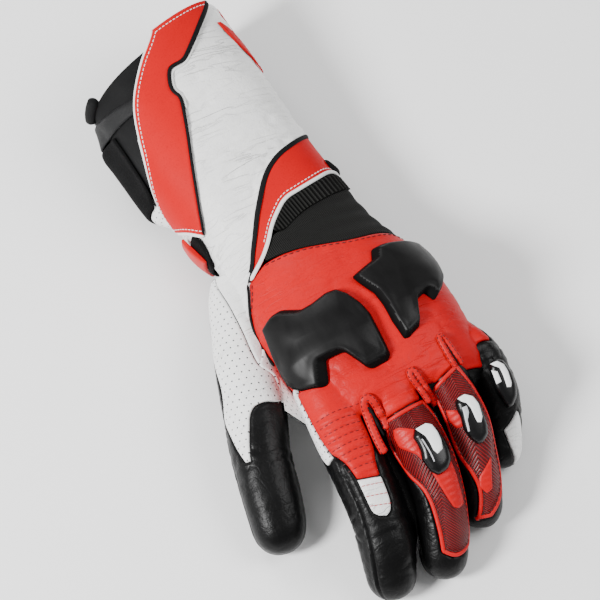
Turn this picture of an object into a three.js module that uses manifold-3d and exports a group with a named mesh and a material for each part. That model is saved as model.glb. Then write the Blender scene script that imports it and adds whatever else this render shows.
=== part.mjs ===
// Leather motorcycle glove for the left hand, lying palm down, in millimetres.
// +Y points from the fingers to the cuff, +X to the little-finger side, +Z up through the back.
import * as THREE from 'three';
import Module from 'manifold-3d';

const wasm = await Module();
wasm.setup();

// Driving sizes
const LEATHER = 2.0;
const CLEARANCE = 0.7;
const SEAM_GAP = 0.25;
const PANEL_GAP = 0.7;
const LAP_BOTTOM = 0.8;
const LAP_TOP = 2.2;
const PLEAT_PITCH = 4.0;
const PLEAT_DEPTH = 1.1;
const PLEAT_START = 30;
const RIB_COUNT = 10;
const RIB_DEPTH = 0.9;
const SLIDER_HEIGHT = 3.4;
const CLOSURE_BULGE = 6.5;
const GUARD_CLEARANCE = 0.9;
const GUARD_EDGE = 1.8;
const SLIDER_EDGE = 1.6;
const SLIDER_CLEARANCE = 0.7;
const WELT_RADIUS = 1.1;
const FINGER_POWER = 2.2;
const HAND_MM_PER_DEGREE = 0.72;
const FINGER_MM_PER_DEGREE = 0.24;

// Middle of the bounding box as the form is drawn; the finished glove is moved by it.
const ORIGIN = [-3.476, -9.212, 0];

const COLOURS = {
  white: 0xe9e9e6,
  red: 0xe4322d,
  darkRed: 0xa3211f,
  black: 0x1b1b1c,
  knit: 0x232324,
  grey: 0x3a3b3d,
  hard: 0x151517,
};

// Rings of the hand and cuff, from the cuff rim to the finger roots.
const HAND_COLUMNS = ['x', 'y', 'z', 'yaw', 'thumbSide', 'littleSide', 'up', 'down', 'power'];
const HAND_RINGS = [
  [-16, 144, 33, 16, 44.5, 44.5, 32, 35, 2.3],
  [-11, 113, 32, 12, 43, 43, 31, 34, 2.3],
  [-7, 80, 31, 8, 42, 42.5, 29, 33, 2.3],
  [-2, 51, 29, 5, 41, 41.5, 27, 31, 2.3],
  [3, 28, 28, 3, 40, 41, 25, 29.5, 2.3],
  [6, 10, 29, 0, 42, 42, 26, 29.5, 2.3],
  [8, -6, 31, 0, 44, 46, 28, 29, 2.3],
  [10, -28, 34, 0, 46, 50, 29, 27, 2.3],
  [13, -50, 36, 0, 47, 49.5, 29, 24, 2.4],
  [16, -72, 36, 0, 47, 46.5, 25, 20, 2.4],
  [18, -90, 34, 0, 44, 43, 20, 17, 2.4],
  [18, -94, 33.5, 0, 41.5, 40.5, 16.5, 13.5, 2.3],
  [18, -96.8, 33, 0, 36, 35, 9, 7.5, 2.2],
];

// Rings of each finger, from inside the hand to the start of the rounded tip.
const FINGER_COLUMNS = ['x', 'y', 'z', 'half', 'rise'];
const FINGER_RINGS = {
  index: [
    [-18, -50, 41, 15, 15],
    [-20.5, -85, 39, 14.6, 15],
    [-21.5, -112, 34, 14.4, 14.5],
    [-22.5, -135, 27, 14.2, 13.5],
    [-25.5, -151, 20, 13.8, 12.5],
    [-28, -161, 12, 12.5, 12.4],
  ],
  middle: [
    [7, -45, 44, 13.5, 15],
    [9, -79, 43, 13.2, 15],
    [10.6, -105, 38, 13.2, 14.5],
    [11, -123, 33, 12.8, 14],
    [8.6, -139, 26, 12.6, 13],
    [4.6, -152, 19, 12.4, 12.5],
    [0.5, -163, 11.4, 12, 12.2],
  ],
  ring: [
    [33, -41, 44, 12.2, 14.5],
    [36.6, -71, 43, 12.2, 14.5],
    [38, -94, 39, 12, 14.5],
    [37.8, -111, 33, 11.6, 13.5],
    [35.6, -124, 26, 11, 13],
    [32.6, -137, 18, 11, 12],
    [29, -147.5, 10.8, 10.8, 11.8],
  ],
  little: [
    [44, -41, 37, 11.5, 13],
    [51.5, -66, 36, 11.4, 13],
    [60.5, -83, 33, 11.4, 13],
    [61.3, -98, 27, 11.3, 12.5],
    [59.4, -109, 20.5, 10.7, 12],
    [55.6, -118, 14, 10.2, 11],
    [53, -124, 10, 9.8, 10.9],
  ],
  thumb: [
    [-26, 20, 24, 13, 15],
    [-30, 7, 22.5, 16.5, 15.5],
    [-38, -12, 23, 16.5, 16],
    [-46, -34, 24, 16.5, 16],
    [-53, -57, 23, 16, 15],
    [-60, -80, 20, 15, 14],
    [-64, -100, 16.5, 14.5, 13],
    [-67, -114, 12, 13.5, 12.6],
  ],
};

// Seams on the hand. Each point is the distance from the cuff rim in millimetres and the angle
// round the form in degrees: 0 on top, 90 on the little-finger side, -90 on the thumb side.
const LITTLE_SIDE = 92;
const THUMB_SIDE = -97;
const CUFF_END = 112;
const HAND_END = 238.3;
const INLAY = [
  [0, 60], [3, 58], [10, 46], [16, 25], [20, 10], [22, -2], [25, -12], [29, -17], [34, -18],
  [39, -15.5], [49, -22], [63, -33], [76, -44], [91, -56], [106, -70],
];
const FLAP_EDGE = [
  [0, 2], [3, -3], [10, -24], [22, -44], [28, -53], [43, -62], [58, -72], [69, -86], [78, -95], [88, -99],
];
const UNDER_FLAP = [
  [0, 48], [10, 33], [16, 12], [20, -3], [25, -26], [34, -31], [49, -35], [63, -45], [75, -56],
];
const UNDER_FLAP_END = [[75, -56], [84, -64], [96, -76], [106, -86], [116, -96]];
const INSERT_TOP = [
  [80, 92], [82, 80], [84, 72], [88, 51], [91, 33], [97, 12], [107, -11], [116, -30], [130, -48],
  [140, -57], [146, -65],
];
const INSERT_BOTTOM = [
  [107, 92], [107, 79], [107, 67], [110, 51], [112, 32], [113, 12], [118, -6], [124, -22],
  [133, -36], [140, -48], [146, -62],
];
const HAND_TOP = [[154, 92], [154, 78], [151, 66], [151, 39], [148, 19], [143, -15], [141.2, -46]];
const HAND_LEFT = [
  [147, -65.8], [152, -69], [157, -74], [161, -81], [168, -90], [174, -97], [200, -99], [238.3, -100],
];

function toRadians(degrees) {
  return (degrees * Math.PI) / 180;
}

function tableFromRows(columns, rows) {
  return rows.map((row) => Object.fromEntries(columns.map((name, i) => [name, row[i]])));
}

// Adds to every ring its distance along the middle line.
function withDistances(rings) {
  let distance = 0;
  return rings.map((ring, i) => {
    if (i > 0) {
      const before = rings[i - 1];
      distance += Math.hypot(ring.x - before.x, ring.y - before.y, ring.z - before.z);
    }
    return { ...ring, distance };
  });
}

function slopeAt(rings, key, i) {
  const last = rings.length - 1;
  const rise = (a, b) => (rings[b][key] - rings[a][key]) / (rings[b].distance - rings[a].distance);
  if (i === 0) return rise(0, 1);
  if (i === last) return rise(last - 1, last);
  const before = rings[i].distance - rings[i - 1].distance;
  const after = rings[i + 1].distance - rings[i].distance;
  return (rise(i - 1, i) * after + rise(i, i + 1) * before) / (before + after);
}

// A ring between the listed ones, from a smooth cubic through each column.
function ringAt(rings, distance) {
  const last = rings.length - 1;
  const at = Math.min(Math.max(distance, 0), rings[last].distance);
  let i = 0;
  while (i < last - 1 && rings[i + 1].distance <= at) i += 1;
  const span = rings[i + 1].distance - rings[i].distance;
  const q = (at - rings[i].distance) / span;
  const ring = {};
  for (const key of Object.keys(rings[0])) {
    const start = slopeAt(rings, key, i) * span;
    const end = slopeAt(rings, key, i + 1) * span;
    ring[key] = (2 * q ** 3 - 3 * q ** 2 + 1) * rings[i][key] + (q ** 3 - 2 * q ** 2 + q) * start
      + (-2 * q ** 3 + 3 * q ** 2) * rings[i + 1][key] + (q ** 3 - q ** 2) * end;
  }
  return ring;
}

// The point of a rounded-square section at an angle from its top.
function sectionPoint(centre, across, up, sizes, angle, power) {
  const sx = Math.sin(angle);
  const cz = Math.cos(angle);
  const width = sx > 0 ? sizes.right : sizes.left;
  const height = cz > 0 ? sizes.up : sizes.down;
  const r = (Math.abs(sx / width) ** power + Math.abs(cz / height) ** power) ** (-1 / power);
  return centre.clone().addScaledVector(across, r * sx).addScaledVector(up, r * cz);
}

// Soft leather is flat where it rests: an outer face stops at the floor and a wall keeps its thickness.
function keepAboveFloor(point, lift) {
  point.z = Math.max(point.z, lift < 0 ? -lift : 0);
  return point;
}

function handForm() {
  const rings = withDistances(tableFromRows(HAND_COLUMNS, HAND_RINGS));
  const length = rings[rings.length - 1].distance;
  const point = (distance, degrees, lift) => {
    const ring = ringAt(rings, distance);
    const yaw = toRadians(ring.yaw);
    const across = new THREE.Vector3(Math.cos(yaw), Math.sin(yaw), 0);
    const sizes = {
      left: ring.thumbSide + lift,
      right: ring.littleSide + lift,
      up: ring.up + lift,
      down: ring.down + lift,
    };
    const beyond = Math.max(0, distance - length);
    const centre = new THREE.Vector3(ring.x, ring.y - beyond, ring.z);
    const up = new THREE.Vector3(0, 0, 1);
    return keepAboveFloor(sectionPoint(centre, across, up, sizes, toRadians(degrees), ring.power), lift);
  };
  return { point, length, end: length, mmPerDegree: HAND_MM_PER_DEGREE };
}

function fingerForm(name) {
  const rings = withDistances(tableFromRows(FINGER_COLUMNS, FINGER_RINGS[name]));
  const last = rings[rings.length - 1];
  const length = last.distance;
  const roundFrom = length - 3;
  const end = length + last.half * 0.95;
  const centreAt = (distance) => {
    const ring = ringAt(rings, distance);
    return new THREE.Vector3(ring.x, ring.y, ring.z);
  };
  const point = (distance, degrees, lift) => {
    const at = Math.min(distance, end);
    const ring = ringAt(rings, at);
    const ahead = at >= length ? length : at + 0.5;
    const behind = at >= length ? length - 1 : Math.max(at - 0.5, 0);
    const along = centreAt(ahead).sub(centreAt(behind)).normalize();
    const across = new THREE.Vector3().crossVectors(along, new THREE.Vector3(0, 0, 1)).normalize();
    if (across.x < 0) across.negate();
    const up = new THREE.Vector3().crossVectors(across, along);
    if (up.z < 0) up.negate();
    const closing = Math.max(0, (at - roundFrom) / (end - roundFrom));
    const share = Math.max(Math.max(0, 1 - closing ** FINGER_POWER) ** (1 / FINGER_POWER), 0.001);
    const half = (ring.half + lift) * share;
    const rise = (ring.rise + lift) * share;
    const centre = centreAt(at).addScaledVector(along, Math.max(0, at - length) + lift * closing);
    const sizes = { left: half, right: half, up: rise, down: rise };
    return keepAboveFloor(sectionPoint(centre, across, up, sizes, toRadians(degrees), FINGER_POWER), lift);
  };
  return { point, length, end, roundFrom, mmPerDegree: FINGER_MM_PER_DEGREE };
}

const HAND = handForm();
const FINGERS = {
  index: fingerForm('index'),
  middle: fingerForm('middle'),
  ring: fingerForm('ring'),
  little: fingerForm('little'),
  thumb: fingerForm('thumb'),
};

function solidFromMesh(vertices, triangles) {
  const vertProperties = new Float32Array(vertices.length * 3);
  vertices.forEach((vertex, i) => vertProperties.set([vertex.x, vertex.y, vertex.z], i * 3));
  const triVerts = new Uint32Array(triangles.flat());
  return new wasm.Manifold(new wasm.Mesh({ numProp: 3, vertProperties, triVerts }));
}

// Points along a seam at even steps, moved so that every listed point is met.
function evenly(form, seam, count) {
  const lengths = [0];
  for (let i = 1; i < seam.length; i += 1) {
    const dy = seam[i][0] - seam[i - 1][0];
    const dx = (seam[i][1] - seam[i - 1][1]) * form.mmPerDegree;
    lengths.push(lengths[i - 1] + Math.hypot(dx, dy));
  }
  const total = lengths[lengths.length - 1];
  const stops = steps(0, total, count);
  let free = 1;
  for (let i = 1; i < seam.length - 1; i += 1) {
    const spare = seam.length - 1 - i;
    const nearest = Math.round((lengths[i] / total) * count);
    const k = Math.min(Math.max(nearest, free), count - spare);
    if (k >= free) stops[k] = lengths[i];
    free = k + 1;
  }
  stops.sort((a, b) => a - b);
  return stops.map((at) => {
    let i = 0;
    while (i < seam.length - 2 && lengths[i + 1] < at) i += 1;
    const q = Math.min((at - lengths[i]) / (lengths[i + 1] - lengths[i] || 1), 1);
    return [
      seam[i][0] + (seam[i + 1][0] - seam[i][0]) * q,
      seam[i][1] + (seam[i + 1][1] - seam[i][1]) * q,
    ];
  });
}

// Grid of [distance, angle] between four seams. Left and right run from top to bottom,
// top and bottom from left to right; a missing top or bottom is straight.
function seamGrid(form, seams, rows, columns) {
  const left = evenly(form, seams.left, rows);
  const right = evenly(form, seams.right, rows);
  const top = evenly(form, seams.top || [left[0], right[0]], columns);
  const bottom = evenly(form, seams.bottom || [left[rows], right[rows]], columns);
  const grid = [];
  for (let i = 0; i <= rows; i += 1) {
    const u = i / rows;
    const line = [];
    for (let j = 0; j <= columns; j += 1) {
      const v = j / columns;
      line.push([0, 1].map((k) => (
        (1 - v) * left[i][k] + v * right[i][k] + (1 - u) * top[j][k] + u * bottom[j][k]
        - (1 - u) * ((1 - v) * left[0][k] + v * right[0][k])
        - u * ((1 - v) * left[rows][k] + v * right[rows][k])
      )));
    }
    grid.push(line);
  }
  return grid;
}

// A closed sheet on a form. The two levels are heights above the form, or functions of the
// shares down and across the sheet and of the distance and angle.
function sheet(form, seams, rows, columns, inner, outer) {
  const grid = seamGrid(form, seams, rows, columns);
  const level = (value, u, v, spot) => (typeof value === 'function' ? value(u, v, spot[0], spot[1]) : value);
  const vertices = [];
  for (const side of [outer, inner]) {
    grid.forEach((line, i) => line.forEach((spot, j) => {
      vertices.push(form.point(spot[0], spot[1], level(side, i / rows, j / columns, spot)));
    }));
  }
  const back = (rows + 1) * (columns + 1);
  const id = (i, j) => i * (columns + 1) + j;
  const triangles = [];
  const quad = (a, b, c, d) => triangles.push([a, b, c], [a, c, d]);
  for (let i = 0; i < rows; i += 1) {
    for (let j = 0; j < columns; j += 1) {
      quad(id(i, j), id(i + 1, j), id(i + 1, j + 1), id(i, j + 1));
      quad(back + id(i, j), back + id(i, j + 1), back + id(i + 1, j + 1), back + id(i + 1, j));
    }
  }
  for (let i = 0; i < rows; i += 1) {
    quad(id(i, 0), back + id(i, 0), back + id(i + 1, 0), id(i + 1, 0));
    quad(id(i + 1, columns), back + id(i + 1, columns), back + id(i, columns), id(i, columns));
  }
  for (let j = 0; j < columns; j += 1) {
    quad(id(0, j + 1), back + id(0, j + 1), back + id(0, j), id(0, j));
    quad(id(rows, j), back + id(rows, j), back + id(rows, j + 1), id(rows, j + 1));
  }
  return solidFromMesh(vertices, triangles);
}

// A form filled between its first and last station, at a height above it.
function filledForm(form, stations, lift, around) {
  const last = stations.length - 1;
  const rings = stations.map((at) => {
    const ring = [];
    for (let j = 0; j < around; j += 1) ring.push(form.point(at, (360 * j) / around, lift));
    return ring;
  });
  const middle = (ring) => ring.reduce((sum, p) => sum.add(p), new THREE.Vector3()).divideScalar(around);
  const vertices = [middle(rings[0]), middle(rings[last])];
  rings.forEach((ring) => vertices.push(...ring));
  const id = (i, j) => 2 + i * around + (j % around);
  const triangles = [];
  for (let j = 0; j < around; j += 1) {
    triangles.push([0, id(0, j), id(0, j + 1)]);
    triangles.push([1, id(last, j + 1), id(last, j)]);
    for (let i = 0; i < last; i += 1) {
      triangles.push([id(i, j), id(i + 1, j), id(i + 1, j + 1)], [id(i, j), id(i + 1, j + 1), id(i, j + 1)]);
    }
  }
  return solidFromMesh(vertices, triangles);
}

function steps(from, to, count) {
  return Array.from({ length: count + 1 }, (_, i) => from + ((to - from) * i) / count);
}

// A finger filled to its rounded tip.
function filledFinger(form, from, lift, along, around) {
  const tip = [0.5, 0.85, 0.99].map((q) => form.roundFrom + (form.end - form.roundFrom) * q);
  return filledForm(form, steps(from, form.roundFrom, along).concat(tip), lift, around);
}

// A round bead along points, closed at both ends.
function bead(points, radius, around) {
  const curve = new THREE.CatmullRomCurve3(points);
  const last = points.length - 1;
  const frames = curve.computeFrenetFrames(last, false);
  const vertices = [curve.getPoint(0), curve.getPoint(1)];
  const triangles = [];
  const id = (i, j) => 2 + i * around + (j % around);
  for (let i = 0; i <= last; i += 1) {
    const centre = curve.getPoint(i / last);
    for (let j = 0; j < around; j += 1) {
      const angle = (2 * Math.PI * j) / around;
      vertices.push(centre.clone()
        .addScaledVector(frames.normals[i], radius * Math.cos(angle))
        .addScaledVector(frames.binormals[i], radius * Math.sin(angle)));
    }
  }
  for (let j = 0; j < around; j += 1) {
    triangles.push([0, id(0, j + 1), id(0, j)], [1, id(last, j), id(last, j + 1)]);
    for (let i = 0; i < last; i += 1) {
      triangles.push([id(i, j), id(i, j + 1), id(i + 1, j + 1)], [id(i, j), id(i + 1, j + 1), id(i + 1, j)]);
    }
  }
  return solidFromMesh(vertices, triangles);
}

function smoothStep(share) {
  const q = Math.min(Math.max(share, 0), 1);
  return q * q * (3 - 2 * q);
}

function union(solids) {
  return solids.reduce((sum, solid) => sum.add(solid));
}

// Drops the specks that a cut along a shared face can leave.
function largest(solid) {
  return solid.decompose().reduce((best, piece) => (piece.volume() > best.volume() ? piece : best));
}

function without(solid, cutters) {
  return cutters.reduce((rest, cutter) => rest.subtract(cutter), solid);
}

// Shifts every seam sideways so that two pieces that share a seam keep a gap.
function shifted(seam, alongShift, degrees) {
  return seam.map(([distance, angle]) => [distance + alongShift, angle + degrees]);
}

function reversed(seam) {
  return [...seam].reverse();
}

const HAND_BACK_TOP = [[147, -65.8], [144, -54.5]].concat(reversed(shifted(HAND_TOP, SEAM_GAP, 0)));

// Solids that pieces are trimmed with
const FINGER_NAMES = ['index', 'middle', 'ring', 'little', 'thumb'];
const front = [HAND_END, HAND_END + 2, HAND_END + 4, HAND.end - 1.4];
const handStations = steps(0, 232, 36).concat(front);
const handOutside = filledForm(HAND, handStations.concat([HAND.end, HAND.end + CLEARANCE]), CLEARANCE, 36);
const handInside = filledForm(HAND, handStations.slice(0, -1).concat([HAND.end - LEATHER]), -LEATHER, 20);
const frontStations = [HAND_END - SEAM_GAP].concat(front.slice(1), [HAND.end, HAND.end + CLEARANCE]);
const handFront = filledForm(HAND, frontStations, CLEARANCE, 36);
const fingerInsides = FINGER_NAMES.map((name) => filledFinger(FINGERS[name], 0, -LEATHER, 5, 10));
const fingerOutsides = FINGER_NAMES.map((name) => filledFinger(FINGERS[name], 0, CLEARANCE, 7, 14));

// Panels let into a finger: the seams are shared by the panel and by the opening cut for it.
const FINGER_PANELS = {
  indexRed: {
    finger: 'index',
    left: [[28, -77], [34, -73], [42, -65], [50, -58], [57, -44], [66, -26]],
    right: [[28, 50], [37, 40], [54, 37], [64, 29], [69, 24]],
    size: [20, 4],
  },
  indexPatch: {
    finger: 'index',
    left: [[66.7, -25.5], [74, -24], [82, -21], [86, -9]],
    right: [[69.7, 24], [76, 25], [82, 22], [86.5, 8]],
    size: [4, 3],
  },
  indexSide: {
    finger: 'index',
    left: [[22, -117], [28, -114], [42, -106], [50, -98], [56, -78]],
    right: [[22, -86], [28, -80], [34, -76], [42, -68], [50, -61], [56, -50]],
    size: [6, 2],
  },
  middleRed: {
    finger: 'middle',
    left: [[26, -66], [40, -60], [50.5, -49]],
    right: [[26, 60], [42, 52], [50, 40]],
    size: [2, 3],
  },
  middleOverlay: {
    finger: 'middle',
    left: [[51.2, -48.5], [58, -72], [67, -87], [81, -66], [88, -39], [96, -27], [110, -15], [121, -9]],
    right: [[50.7, 40], [58, 58], [72, 73], [81, 77], [100, 82], [112, 84], [120, 70]],
    bottom: [[121, -9], [125, 25], [120, 70]],
    size: [9, 5],
  },
  ringRed: {
    finger: 'ring',
    left: [[26, -66], [40, -60], [50, -52]],
    right: [[26, 60], [38, 50], [44.5, 22]],
    size: [2, 3],
  },
  ringOverlay: {
    finger: 'ring',
    left: [[50.7, -52], [59, -54], [75, -55], [86, -44], [95, -21], [105, -6], [114, -10], [119, -22]],
    right: [[45.2, 22], [52, 30], [57, 38], [62, 43], [74, 62], [85, 66], [94, 68], [108, 62], [118, 20]],
    size: [9, 5],
  },
  littleRed: {
    finger: 'little',
    left: [[10, -60], [28, -52], [36, -48]],
    right: [[10, 66], [28, 60], [43, 40]],
    size: [2, 3],
  },
  littleSide: {
    finger: 'little',
    left: [[82, 4], [88, 14], [95, 30], [101, 52]],
    right: [[74, 40], [80, 62], [89, 80], [99, 84]],
    size: [4, 4],
  },
  thumbTail: {
    finger: 'thumb',
    left: [[6, -58], [13, -49], [20, -39], [33, -15], [45, 0], [54, 9], [61, 19]],
    right: [[6, 70], [23, 40], [36, 34], [50, 32], [61, 27]],
    size: [6, 4],
  },
  thumbSide: {
    finger: 'thumb',
    left: [[6, -100], [45, -100], [60, -96], [84, -94], [96, -60], [108, -42]],
    right: [
      [6, -60], [13, -51], [20, -41], [33, -17], [45, -2], [54, 7], [62.5, 19], [64, 30], [66.5, 48], [79, 64],
      [80.5, 48], [80, 20], [83, -12], [96, -21], [108, -29],
    ],
    size: [15, 5],
    gap: 1.5,
  },
};

function panelSeams(panel) {
  const { left, right, bottom } = panel;
  return { left, right, bottom };
}

function fingerPanel(name) {
  const panel = FINGER_PANELS[name];
  return sheet(FINGERS[panel.finger], panelSeams(panel), panel.size[0], panel.size[1], -LEATHER, 0);
}

// The seams of a panel moved outwards by a margin in millimetres.
function grownSeams(form, panel, margin) {
  const left = panel.left;
  const bottom = panel.bottom ? panel.bottom.slice(1, -1) : [];
  const right = reversed(panel.right);
  const ring = left.concat(bottom, right);
  const flat = ring.map(([distance, angle]) => new THREE.Vector2(angle * form.mmPerDegree, -distance));
  const normal = (a, b) => new THREE.Vector2(b.y - a.y, a.x - b.x).normalize();
  const grown = flat.map((point, i) => {
    const before = normal(flat[(i + flat.length - 1) % flat.length], point);
    const after = normal(point, flat[(i + 1) % flat.length]);
    const out = before.clone().add(after).normalize();
    const reach = margin / Math.max(out.dot(before), 0.5);
    return [-(point.y + out.y * reach), (point.x + out.x * reach) / form.mmPerDegree];
  });
  const seams = {
    left: grown.slice(0, left.length),
    right: reversed(grown.slice(left.length + bottom.length)),
  };
  if (bottom.length > 0) seams.bottom = grown.slice(left.length - 1, left.length + bottom.length + 1);
  return seams;
}

// The opening is a little larger than the panel all round.
function fingerOpening(name) {
  const panel = FINGER_PANELS[name];
  const form = FINGERS[panel.finger];
  const rows = Math.max(panel.left.length, panel.right.length, panel.size[0] < 16 ? panel.size[0] : 8);
  return sheet(form, grownSeams(form, panel, panel.gap || PANEL_GAP), rows, panel.size[1], -LEATHER * 2, LEATHER);
}

function finger(name, panels) {
  const form = FINGERS[name];
  const tube = filledFinger(form, 6, 0, 7, 13).subtract(fingerInsides[FINGER_NAMES.indexOf(name)]);
  return without(tube.subtract(handOutside), panels.map(fingerOpening));
}

function cuffBackPanel() {
  const upper = sheet(HAND, {
    left: UNDER_FLAP,
    right: [[0, LITTLE_SIDE], [75, LITTLE_SIDE]],
  }, 9, 6, -LEATHER, 0);
  const lowerRight = shifted(INSERT_TOP, -SEAM_GAP, -SEAM_GAP)
    .concat(shifted(HAND_LEFT.slice(1, 5), 0, -SEAM_GAP * 2));
  const lower = sheet(HAND, {
    left: UNDER_FLAP_END.concat([[150, THUMB_SIDE + 1], [169, THUMB_SIDE + 2]]),
    right: [[75, LITTLE_SIDE]].concat(lowerRight),
    top: [[75, -56], [75, LITTLE_SIDE]],
  }, 15, 6, -LEATHER, 0);
  const tail = fingerPanel('thumbTail').subtract(handInside);
  const backRegion = sheet(HAND, {
    left: shifted(HAND_LEFT, 0, -1),
    right: [[154.3, LITTLE_SIDE], [HAND_END, LITTLE_SIDE]],
    top: HAND_BACK_TOP,
  }, 8, 9, -LEATHER * 2, CLEARANCE);
  return largest(without(union([upper, lower]), [fingerInsides[4]]).add(tail).subtract(backRegion));
}

function cuffSidePanel() {
  return sheet(HAND, {
    left: [[76, THUMB_SIDE], [CUFF_END, THUMB_SIDE]],
    right: shifted(UNDER_FLAP_END, 0.6, -0.8),
  }, 4, 4, -LEATHER, 0);
}

function cuffFlap() {
  return sheet(HAND, {
    left: FLAP_EDGE,
    right: INLAY,
    top: [[0, 2], [0, 60]],
  }, 16, 3, LAP_BOTTOM, LAP_TOP);
}

function cuffInsert() {
  return sheet(HAND, {
    left: shifted(INSERT_TOP, SEAM_GAP, SEAM_GAP),
    right: shifted(INSERT_BOTTOM, -SEAM_GAP, -SEAM_GAP),
  }, 11, 2, -LEATHER, 0);
}

function wristRibBand() {
  const top = reversed(INSERT_BOTTOM.slice(1, 8));
  const rib = (u, v) => (Math.round(v * RIB_COUNT * 2) % 2 === 1 && u > 0.01 && u < 0.99 ? RIB_DEPTH : 0.1);
  return sheet(HAND, {
    left: [[124.6, -21.5], [127, -22.8]],
    right: [[107.4, 79], [117.6, 79]],
    top: shifted(top, SEAM_GAP * 2, SEAM_GAP),
    bottom: [[127, -22.8], [129.8, -12], [127, 0], [123.8, 20], [121.8, 45], [117.6, 79]],
  }, 3, RIB_COUNT * 2, -LEATHER, rib);
}

function wristStretchPanel() {
  const band = [[119.2, 79.8], [123, 45.2], [125, 20.2], [128.2, 0.2], [131.2, -12.4]];
  const upper = [[107.4, LITTLE_SIDE], [107.5, 79.9]];
  const lower = [[128.6, -25], [133.6, -34.8], [140.3, -46.2]];
  const seamTop = upper.concat(band, lower);
  return sheet(HAND, {
    left: [[140.3, -46.2], [140.8, -45.6]],
    right: [[107.4, LITTLE_SIDE], [153.7, LITTLE_SIDE]],
    top: reversed(seamTop),
    bottom: [[140.8, -45.6]].concat(reversed(shifted(HAND_TOP, -SEAM_GAP, 0)).slice(1)),
  }, 3, 14, -LEATHER, 0);
}

function cuffUnderside() {
  return sheet(HAND, {
    left: [[0, LITTLE_SIDE + 0.7], [CUFF_END, LITTLE_SIDE + 0.7]],
    right: [[0, THUMB_SIDE + 359.3], [CUFF_END, THUMB_SIDE + 359.3]],
  }, 6, 9, -LEATHER, 0);
}

function palm() {
  const panel = sheet(HAND, {
    left: [[CUFF_END + 0.6, LITTLE_SIDE + 0.7], [HAND_END, LITTLE_SIDE + 0.7]],
    right: [[CUFF_END + 0.6, THUMB_SIDE + 359.3], [170, THUMB_SIDE + 359.3], [200, 260.4], [HAND_END, 259.4]],
  }, 8, 9, -LEATHER, 0);
  return without(panel, fingerInsides);
}

function fingerWeb() {
  const cap = filledForm(HAND, [HAND_END + SEAM_GAP * 3, HAND_END + 4, HAND.end - 1.4, HAND.end], 0, 20);
  return without(cap, [handInside, ...fingerInsides]);
}

// Pleats across the index finger, higher in the middle of each fold.
function indexGathers() {
  const panel = FINGER_PANELS.indexRed;
  const outer = (u, v, distance) => {
    if (u > 0.985) return 0;
    const wave = Math.abs(Math.sin((Math.PI * (distance - PLEAT_START)) / PLEAT_PITCH));
    return PLEAT_DEPTH * wave * smoothStep((distance - PLEAT_START) / 8) * (1 - (2 * v - 1) ** 4);
  };
  return sheet(FINGERS.index, panelSeams(panel), panel.size[0], panel.size[1], -LEATHER, outer);
}

function handBack() {
  const main = sheet(HAND, {
    left: HAND_LEFT,
    right: [[154.3, LITTLE_SIDE], [HAND_END, LITTLE_SIDE]],
    top: HAND_BACK_TOP,
  }, 8, 9, -LEATHER, 0);
  const roots = union([indexGathers(), fingerPanel('middleRed'), fingerPanel('ringRed'), fingerPanel('littleRed')]);
  return without(main, fingerInsides).add(without(roots, [handInside, handFront]));
}

function thumbSidePanel() {
  return fingerPanel('thumbSide').subtract(handOutside);
}

// The inner collar that shows beside the flap.
function closureCollar() {
  return sheet(HAND, {
    left: [[8, THUMB_SIDE], [75, THUMB_SIDE]],
    right: [[8, 35]].concat(shifted(UNDER_FLAP.slice(1), 0, -1.6)),
  }, 9, 4, -LEATHER, 0);
}

function closureLift(distance, angle) {
  return CLOSURE_BULGE * smoothStep((-86 - angle) / 20) * smoothStep((distance - 4) / 22);
}

function closureTab() {
  return sheet(HAND, {
    left: [[17.5, -130], [40, -130], [71, -124]],
    right: [[26, -80], [40, -82], [58, -85], [70, -92]],
    top: [[17.5, -130], [19.5, -104], [26, -80]],
  }, 6, 6, (u, v, d, a) => closureLift(d, a) + LAP_BOTTOM, (u, v, d, a) => closureLift(d, a) + LAP_TOP);
}

function closureBand() {
  return sheet(HAND, {
    left: [[4, -130], [16.6, -130]],
    right: [[24, -42], [29.5, -52]],
    top: [[4, -130], [5, -104], [14, -76], [24, -42]],
    bottom: [[16.6, -130], [18.6, -104], [25, -78], [29.5, -52]],
  }, 2, 8, (u, v, d, a) => closureLift(d, a) + LAP_BOTTOM, (u, v, d, a) => closureLift(d, a) + LAP_TOP - 0.3)
    .subtract(sheet(HAND, { left: shifted(FLAP_EDGE, 0, -1), right: INLAY }, 16, 3, 0, 6));
}

function closureRoll() {
  const points = [-70, -77, -84, -91, -95].map((angle) => HAND.point(3.4, angle, 0.6));
  return bead(points, 3.2, 10);
}

function wristStrap() {
  return sheet(HAND, {
    left: [[100, -134], [116, -134]],
    right: [[98, -84], [114, -82]],
  }, 2, 6, LAP_BOTTOM, LAP_TOP);
}

function strapPull() {
  return sheet(HAND, {
    left: [[96, -112], [117, -112]],
    right: [[97, -88], [116, -86]],
  }, 3, 3, LAP_TOP + 0.6, (u) => LAP_TOP + 2 + 1.4 * Math.sin(Math.PI * u));
}

function wristTab() {
  return sheet(HAND, {
    left: [[99, 74], [106, 76]],
    right: [[99, 86], [106, 88]],
  }, 2, 2, 0.4, (u) => 1.6 + 1.6 * u);
}

function cuffAccent() {
  return sheet(HAND, {
    left: [[13, 58], [20, 60], [29, 64], [41, 78]],
    right: [[13, 61], [18, 69], [27, 76], [42, 82]],
  }, 5, 2, 0.4, 1.2);
}

// Hard knuckle guards: a raised middle with a thin edge.
function guardLevel(height) {
  return (u, v) => GUARD_EDGE + height * (1 - Math.abs(2 * v - 1) ** 4) * (1 - Math.abs(2 * u - 1) ** 6);
}

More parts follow.
